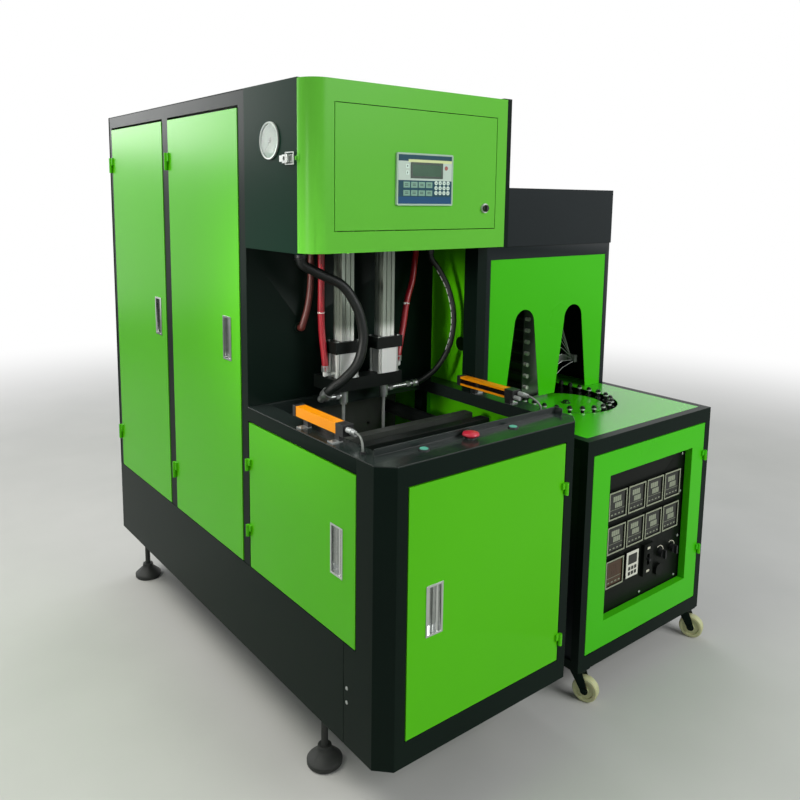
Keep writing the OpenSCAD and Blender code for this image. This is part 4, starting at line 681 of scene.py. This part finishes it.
# Blowing stations. Two anodised stretch cylinders stand on black flange blocks over white
# seal cylinders with plated tie rods; nozzles and polished rods come out below the beam.
# Anodised aluminium extrusion: pale grey with soft wide highlights, and with drawn lines along
# its length, here 2.5 mm wide, which is coarser than the real ones, so that they show.
anodised = bpy.data.materials.new("anodised_extrusion")
tree = empty_tree(anodised)
where = add(tree, "TexCoord")
drawn = add(tree, "Mapping", {"Vector": where.outputs["Object"], "Scale": (1.0, 1.0, 0.02)})
lines = add(tree, "TexNoise", {"Vector": drawn.outputs[0], "Scale": 1 / (2.5 * mm), "Detail": 2.0})
tone = add(tree, "MixRGB", {0: lines.outputs["Fac"], 1: linear("#808a7e"), 2: linear("#98a295")})
rough = add(tree, "MapRange", {"Value": lines.outputs["Fac"], "To Min": 0.3, "To Max": 0.4})
bump = add(tree, "Bump", {"Height": lines.outputs["Fac"], "Distance": 0.03 * mm, "Strength": 1.0})
# Painted reflection: the foot of each profile is drawn paler, as if it mirrored the white block under it
height = add(tree, "SeparateXYZ", {"Vector": where.outputs["Object"]})
low = add(tree, "MapRange", {"Value": height.outputs["Z"], "From Min": 1.24, "From Max": 1.2},
          interpolation_type="SMOOTHSTEP")
tone = add(tree, "MixRGB", {0: low.outputs[0], 1: tone.outputs[0], 2: linear("#e4e9e2")})
surface = add(tree, "BsdfPrincipled", {"Base Color": tone.outputs[0], "Roughness": rough.outputs[0],
                                       "Metallic": 0.5, "Normal": bump.outputs[0]})
add(tree, "OutputMaterial", {"Surface": surface.outputs[0]})
dressed("stretch_cylinders", anodised, 0.5)

# Blasted and clear anodised block: white and satin, with no mirror image in it
seal_white = finish("anodised_white_block", "#e6e9e5", 0.38, dark="#dadeda", patch=40, grain=3,
                    relief=0.03)
dressed("seal_cylinders", seal_white, 1.0)
# Black oxide on steel: dark and dull under a thin film of oil
beam_enamel = finish("black_oxide", "#121715", 0.4, dark="#0d110f", patch=50, grain=4, relief=0.05,
                     **{"Specular IOR Level": 0.15})
dressed("nozzle_beam", beam_enamel, 1.0)
for node in ("nozzle_left", "nozzle_right"):
    dressed(node, zinc, 0.5)
for node in ("stretch_rod_left", "stretch_rod_right"):
    dressed(node, satin_chrome, 0.3)

# Tie rods with hexagon nuts hold each white block between the beam and its flange block
station_x, station_y, beam_top, flange_top, rod_l = (282, 438), 580, 1070, 1186, 79.8
rods, bolts = bmesh.new(), []
for x in station_x:
    for sx in (-1, 1):
        for sy in (-1, 1):
            foot = at(x + sx * 34, station_y + sy * 23, beam_top)
            round_bar(rods, foot, upright, 4.4 * mm, rod_l * mm, 16)
            round_bar(rods, foot + Vector((0, 0, 0.2 * mm)), upright, 7.4 * mm, 5 * mm, 6)
            bolts.append(at(x + sx * 38, station_y + sy * 24, flange_top))
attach(new_piece("seal_tie_rods", rods, [satin_chrome], 0.3), "machine")
button_screws("flange_screws", bolts, upright, 4.5 * mm, "machine", zinc)
# Plated unions at the air hoses' feet: a hexagon, a collar, and a nut towards the cylinder
union_y, union_z = 586, 1094
unions = bmesh.new()
for x, side in ((218, 1), (502, -1)):
    round_bar(unions, at(x, union_y, union_z), upright, 11.5 * mm, 16 * mm, 6)
    round_bar(unions, at(x, union_y, union_z + 15), upright, 10.8 * mm, 4 * mm, 24)
    round_bar(unions, at(x + 9 * side, union_y, union_z - 10), (side, 0, 0), 8 * mm, 9 * mm, 6)
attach(new_piece("hose_unions", unions, [zinc], 0.3), "machine")

# Mould clamp. Machined platens ride on ground tie bars between two end plates; the steel
# shows the cutter's fine marks and a film of oil.
machined = finish("machined_steel", "#4e524d", 0.42, dark="#40443f", patch=70, grain=4, relief=0.05,
                  Metallic=0.5)
# Brushed enamel of the clamp's plates: dull and slightly uneven, its black partly painted shade that keeps
# the pit dark
clamp_paint_and_shade = finish("clamp_enamel", "#141917", 0.42, dark="#101412", patch=90, grain=6, relief=0.06,
                     **{"Specular IOR Level": 0.2})
dressed("platen_front", machined, 1.2)
dressed("platen_rear", machined, 1.2)
dressed("clamp_frame", clamp_paint_and_shade, 1.2)

# Air gear. A receiver in blue hammered enamel stands behind the rear door. Before it a galvanised
# plate carries the valve manifold, its moulded valves, the regulator and the contactors.
# Hammered enamel of the receiver: blue, with broad shallow dents that break its highlights
receiver_enamel = finish("blue_enamel", "#38497a", 0.38, dark="#2e3d69", patch=80, grain=12, relief=0.25)
# Galvanised sheet is grey and patchy; the moulded covers fixed to it are matt and even
galvanised = finish("galvanised_sheet", "#7d8683", 0.42, dark="#6c7572", patch=28, grain=5, relief=0.04)
moulded_grey = finish("moulded_grey", "#5f6663", 0.5, dark="#535956", patch=30, grain=3, relief=0.03)
gear = dressed("air_equipment", receiver_enamel, 1.2)
for skin in (galvanised, machined, crimp_black, moulded_grey):
    gear.data.materials.append(skin)
plate_y, plate_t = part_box("air_equipment")[0].y + 70 * mm, 6 * mm
manifold_top, valve_top = 1.1305, 1.235
for face in gear.data.polygons:
    if face.center.y > plate_y + plate_t + 1 * mm:
        continue
    if face.center.y > plate_y - 0.5 * mm:
        face.material_index = 1
    elif face.center.z < manifold_top:
        face.material_index = 2
    else:
        face.material_index = 3 if face.center.z < valve_top else 4

# Heater casing. A low cabinet of the same tube and sheet on castors; its table plate and tower
# front are green, with two arches through which the bottle blanks enter the lamp tunnel.
# The heater's gloss enamel is a shade deeper and cooler than the machine's
heater_enamel = finish("green_enamel_heater", "#44c20f", 0.28, dark="#40bd0c", patch=300, grain=11,
                       relief=0.05, gloss_change=0.01, **{"Specular IOR Level": 0.14})
for node in ("tower_front", "heater_door"):
    dressed(node, heater_enamel, 1.2)
# The table plate and the disc are wiped every day, so they mirror the light more than the rest
wiped_enamel = finish("green_enamel_wiped", "#44c20f", 0.22, dark="#40bd0c", patch=300, grain=11,
                      relief=0.05, gloss_change=0.01, **{"Specular IOR Level": 0.6})
dressed("heater_top", wiped_enamel, 1.2)
dressed("turntable", wiped_enamel, 0.8)

# Turning disc's bolt. A black oxide hexagon on a washer holds the disc at its centre; it turns
# with the disc.
disc_low, disc_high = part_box("turntable")
disc_mid = (disc_low + disc_high) / 2
hub = bmesh.new()
round_bar(hub, (disc_mid.x, disc_mid.y, disc_high.z - 8.2 * mm), upright, 17 * mm, 2 * mm, 40)
round_bar(hub, (disc_mid.x, disc_mid.y, disc_high.z - 8 * mm), upright, 12.6 * mm, 8.6 * mm, 6)
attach(new_piece("turntable_bolt", hub, [beam_enamel], 0.5), "turntable_body")

# Chain of holders. Each blank sits on a turned spindle with a bright cap; the track is dark
# with grease, so only the caps catch the light.
track_steel = finish("greased_steel", "#3a3d3b", 0.4, dark="#232624", patch=20, grain=5, relief=0.2,
                     Metallic=0.9)
dressed("holder_chain", track_steel, 0.4)
caps, caps_inside = bmesh.new(), bmesh.new()
path_r, turn_y, back_y, middle_x, bed_z, count = 163, 460, 952, 1205, 842, 44
tower_y, heater_z, spindle_h = 555, 882, 46
straight = back_y - turn_y
loop = 2 * straight + 2 * math.pi * path_r
for i in range(count):
    s = (i + 0.5) * loop / count
    if s < straight:
        x, y = middle_x + path_r, turn_y + s
    elif s < straight + math.pi * path_r:
        a = (s - straight) / path_r
        x, y = middle_x + path_r * math.cos(a), back_y + path_r * math.sin(a)
    elif s < 2 * straight + math.pi * path_r:
        x, y = middle_x - path_r, back_y - (s - straight - math.pi * path_r)
    else:
        a = (s - 2 * straight - math.pi * path_r) / path_r
        x, y = middle_x - path_r * math.cos(a), turn_y - path_r * math.sin(a)
    foot = at(x, y, bed_z)
    # Those in the lamp tunnel are drawn dark, in the track's greased steel
    group = caps if y < tower_y else caps_inside
    round_bar(group, foot + Vector((0, 0, spindle_h * mm)), upright, 9.6 * mm, 8 * mm, 20, 0.9)
    round_bar(group, foot + Vector((0, 0, (spindle_h + 8) * mm)), upright, 6.4 * mm, 4 * mm, 16, 0.7)
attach(new_piece("holder_caps", caps, [satin_chrome]), "machine")
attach(new_piece("holder_caps_inside", caps_inside, [track_steel]), "machine")

# Lamp bank. Polished reflectors behind quartz lamps, which sit in white ceramic ends; white
# leads run up behind them.
# Polished aluminium hazed by heat, which mirrors the lamps as broad soft bands
reflector = finish("polished_reflector", "#8d918e", 0.3, dark="#70756f", patch=40, Metallic=0.9)
dressed("lamp_rack", reflector, 0.3)
# Unglazed ceramic: chalky and warm white
ceramic = finish("lamp_ceramic", "#e3e3da", 0.5, dark="#d2d2c8", patch=10)
lamp_count, lamp_pitch, lamp_x, first_lamp_z = 8, 44, 62, heater_z + 26
ends = bmesh.new()
for i in range(lamp_count):
    for side in (-1, 1):
        round_bar(ends, at(middle_x + side * lamp_x, tower_y + 44, first_lamp_z + i * lamp_pitch),
                  (0, 1, 0), 8 * mm, 24 * mm, 20)
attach(new_piece("lamp_ends", ends, [ceramic], 0.6), "machine")

# Control board of the heater. Black enamelled sheet behind the door's window, screwed round
# its edge, with nine square controllers, a timer, a breaker and two knobs.
# Enamel of the board: deep black, with hardly a gleam
board_black = finish("board_enamel", "#101410", 0.36, dark="#0d100d", patch=60, grain=5, relief=0.04,
                     **{"Specular IOR Level": 0.1})
dressed("control_board", board_black, 0.6)
# Moulded frames are pale and matt round shiny dark faces; their figures are off and look grey,
# and one face is amber. The timer is white, and what is printed on the board is cream.
controller_frame = finish("controller_frame", "#9aa188", 0.42, dark="#8b927a", patch=14)
controller_face = finish("controller_face", "#14170f", 0.3, dark="#0e110b", patch=14)
display_grey = finish("display_grey", "#98a088", 0.4, dark="#7c8470", patch=6)
amber_face = finish("amber_face", "#4a2f12", 0.35, dark="#33200c", patch=20)
timer_white = finish("timer_white", "#dfe0d2", 0.4, dark="#cfd0c2", patch=16)
print_white = finish("printed_marks", "#d6d4c0", 0.5, dark="#c9c7b4", patch=20)
# The board's face, the controllers' size, and the window's left edge, foot and height
board_y, cell, win_x, win_z, win_h = 112, 96, 975, 253, 496
cell_x, cell_z = win_x + 30, win_z + win_h - 74 - cell
pitch_x, pitch_z = cell + 9, cell + 23
lever_x, lever_z = win_x + 268, win_z + 128
knob_x, knob_z = (win_x + 352, win_x + 422), win_z + 126


def board_plate(solid, x0, z0, x1, z1, low, high):
    """Plate in front of the board: its corners in millimetres and how far it stands off."""
    block(solid, at(x0, board_y - high, z0), at(x1, board_y - low, z1))


frames, faces, digits, amber = bmesh.new(), bmesh.new(), bmesh.new(), bmesh.new()
for n in range(9):
    x = cell_x + (n % 4) * pitch_x
    z = cell_z - (n // 4) * pitch_z
    for x0, z0, x1, z1 in ((x, z, x + cell, z + 5), (x, z + cell - 5, x + cell, z + cell),
                           (x, z + 5, x + 5, z + cell - 5), (x + cell - 5, z + 5, x + cell, z + cell - 5)):
        board_plate(frames, x0, z0, x1, z1, 7, 10.6)
    board_plate(amber if n == 8 else faces, x + 4, z + 4, x + cell - 4, z + cell - 4, 6.5, 7.4)
    # Two lines of figures, a rule, and a row of four keys
    for line_x, line_z, wide in ((24, 60, 9.5), (34, 38, 8.5)):
        for k in range(4):
            board_plate(digits if n < 8 else amber, x + line_x + (wide + 1.2) * k, z + line_z,
                        x + line_x + (wide + 1.2) * k + wide, z + line_z + 18, 7.4, 7.7)
    board_plate(digits, x + 10, z + 32, x + cell - 10, z + 33.2, 7.4, 7.7)
    for k in range(4):
        board_plate(digits, x + 14 + 19 * k, z + 15, x + 23 + 19 * k, z + 19, 7.4, 8.4)
for name, solid, material, slot, width in (
        ("controller_frames", frames, controller_frame, "panel_plastic", 0.5),
        ("controller_faces", faces, controller_face, "black_plastic", 0.0),
        ("controller_figures", digits, display_grey, "panel_plastic", 0.0),
        ("controller_amber_face", amber, amber_face, "black_plastic", 0.0)):
    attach(new_piece(name, solid, [material], width), "machine")

timer, timer_dark = bmesh.new(), bmesh.new()
timer_x, timer_z = cell_x + pitch_x + 8, cell_z - 2 * pitch_z + 4
board_plate(timer, timer_x, timer_z, timer_x + 68, timer_z + 92, 8, 10)
board_plate(timer_dark, timer_x + 10, timer_z + 48, timer_x + 58, timer_z + 82, 10, 10.8)
for i in range(3):
    for j in range(2):
        board_plate(timer_dark, timer_x + 11 + 17 * i, timer_z + 9 + 18 * j,
                    timer_x + 23 + 17 * i, timer_z + 21 + 18 * j, 10, 11)
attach(new_piece("timer_face", timer, [timer_white], 0.8), "machine")
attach(new_piece("timer_keys", timer_dark, [controller_face], 0.4), "machine")

dressed("breaker_lever", moulded_black, 0.4)
for node in ("knob_left", "knob_right"):
    dressed(node, moulded_black, 0.8)
# White scale arcs printed round the two knobs, in short steps, and the breaker's white marks
arc_in, arc_out, arc_start, arc_step, arc_mark = 23, 26, -20, 10, 9
arcs = bmesh.new()
for x in knob_x:
    for k in range(14):
        a = math.radians(arc_start + arc_step * k)
        b = a + math.radians(arc_mark)
        arcs.faces.new([arcs.verts.new(at(x + r * math.cos(t), board_y - 0.2, knob_z + r * math.sin(t)))
                        for r, t in ((arc_in, a), (arc_out, a), (arc_out, b), (arc_in, b))])
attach(new_piece("knob_scales", arcs, [print_white]), "machine")
marks = bmesh.new()
for dz in (38, -46):
    board_plate(marks, lever_x - 8, lever_z + dz, lever_x + 8, lever_z + dz + 8, 12, 12.5)
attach(new_piece("breaker_marks", marks, [print_white]), "machine")
screw_places = ((24, 12), (240, 12), (452, 12), (462, 160), (462, 330), (24, 484), (240, 484), (462, 470))
button_screws("board_screws", [at(win_x + x, board_y, win_z + z) for x, z in screw_places],
              front, 5 * mm, "machine", zinc)

# Castors. Black pressed forks with plated axle nuts; the wheels are cream nylon, scuffed on
# the tread and grey where they have rolled.
dressed("fork_left", black_enamel, 0.8)
dressed("fork_right", black_enamel, 0.8)
# Cast nylon: cream and waxy, letting a little light in at its edges
wheel_nylon = finish("cast_nylon", "#cdd09c", 0.42, dark="#b4b78a", patch=24, grain=5, relief=0.1,
                     **{"Subsurface Weight": 0.05})
for place in ("front_left", "front_right", "rear_left", "rear_right"):
    dressed("wheel_" + place, wheel_nylon, 0.8)
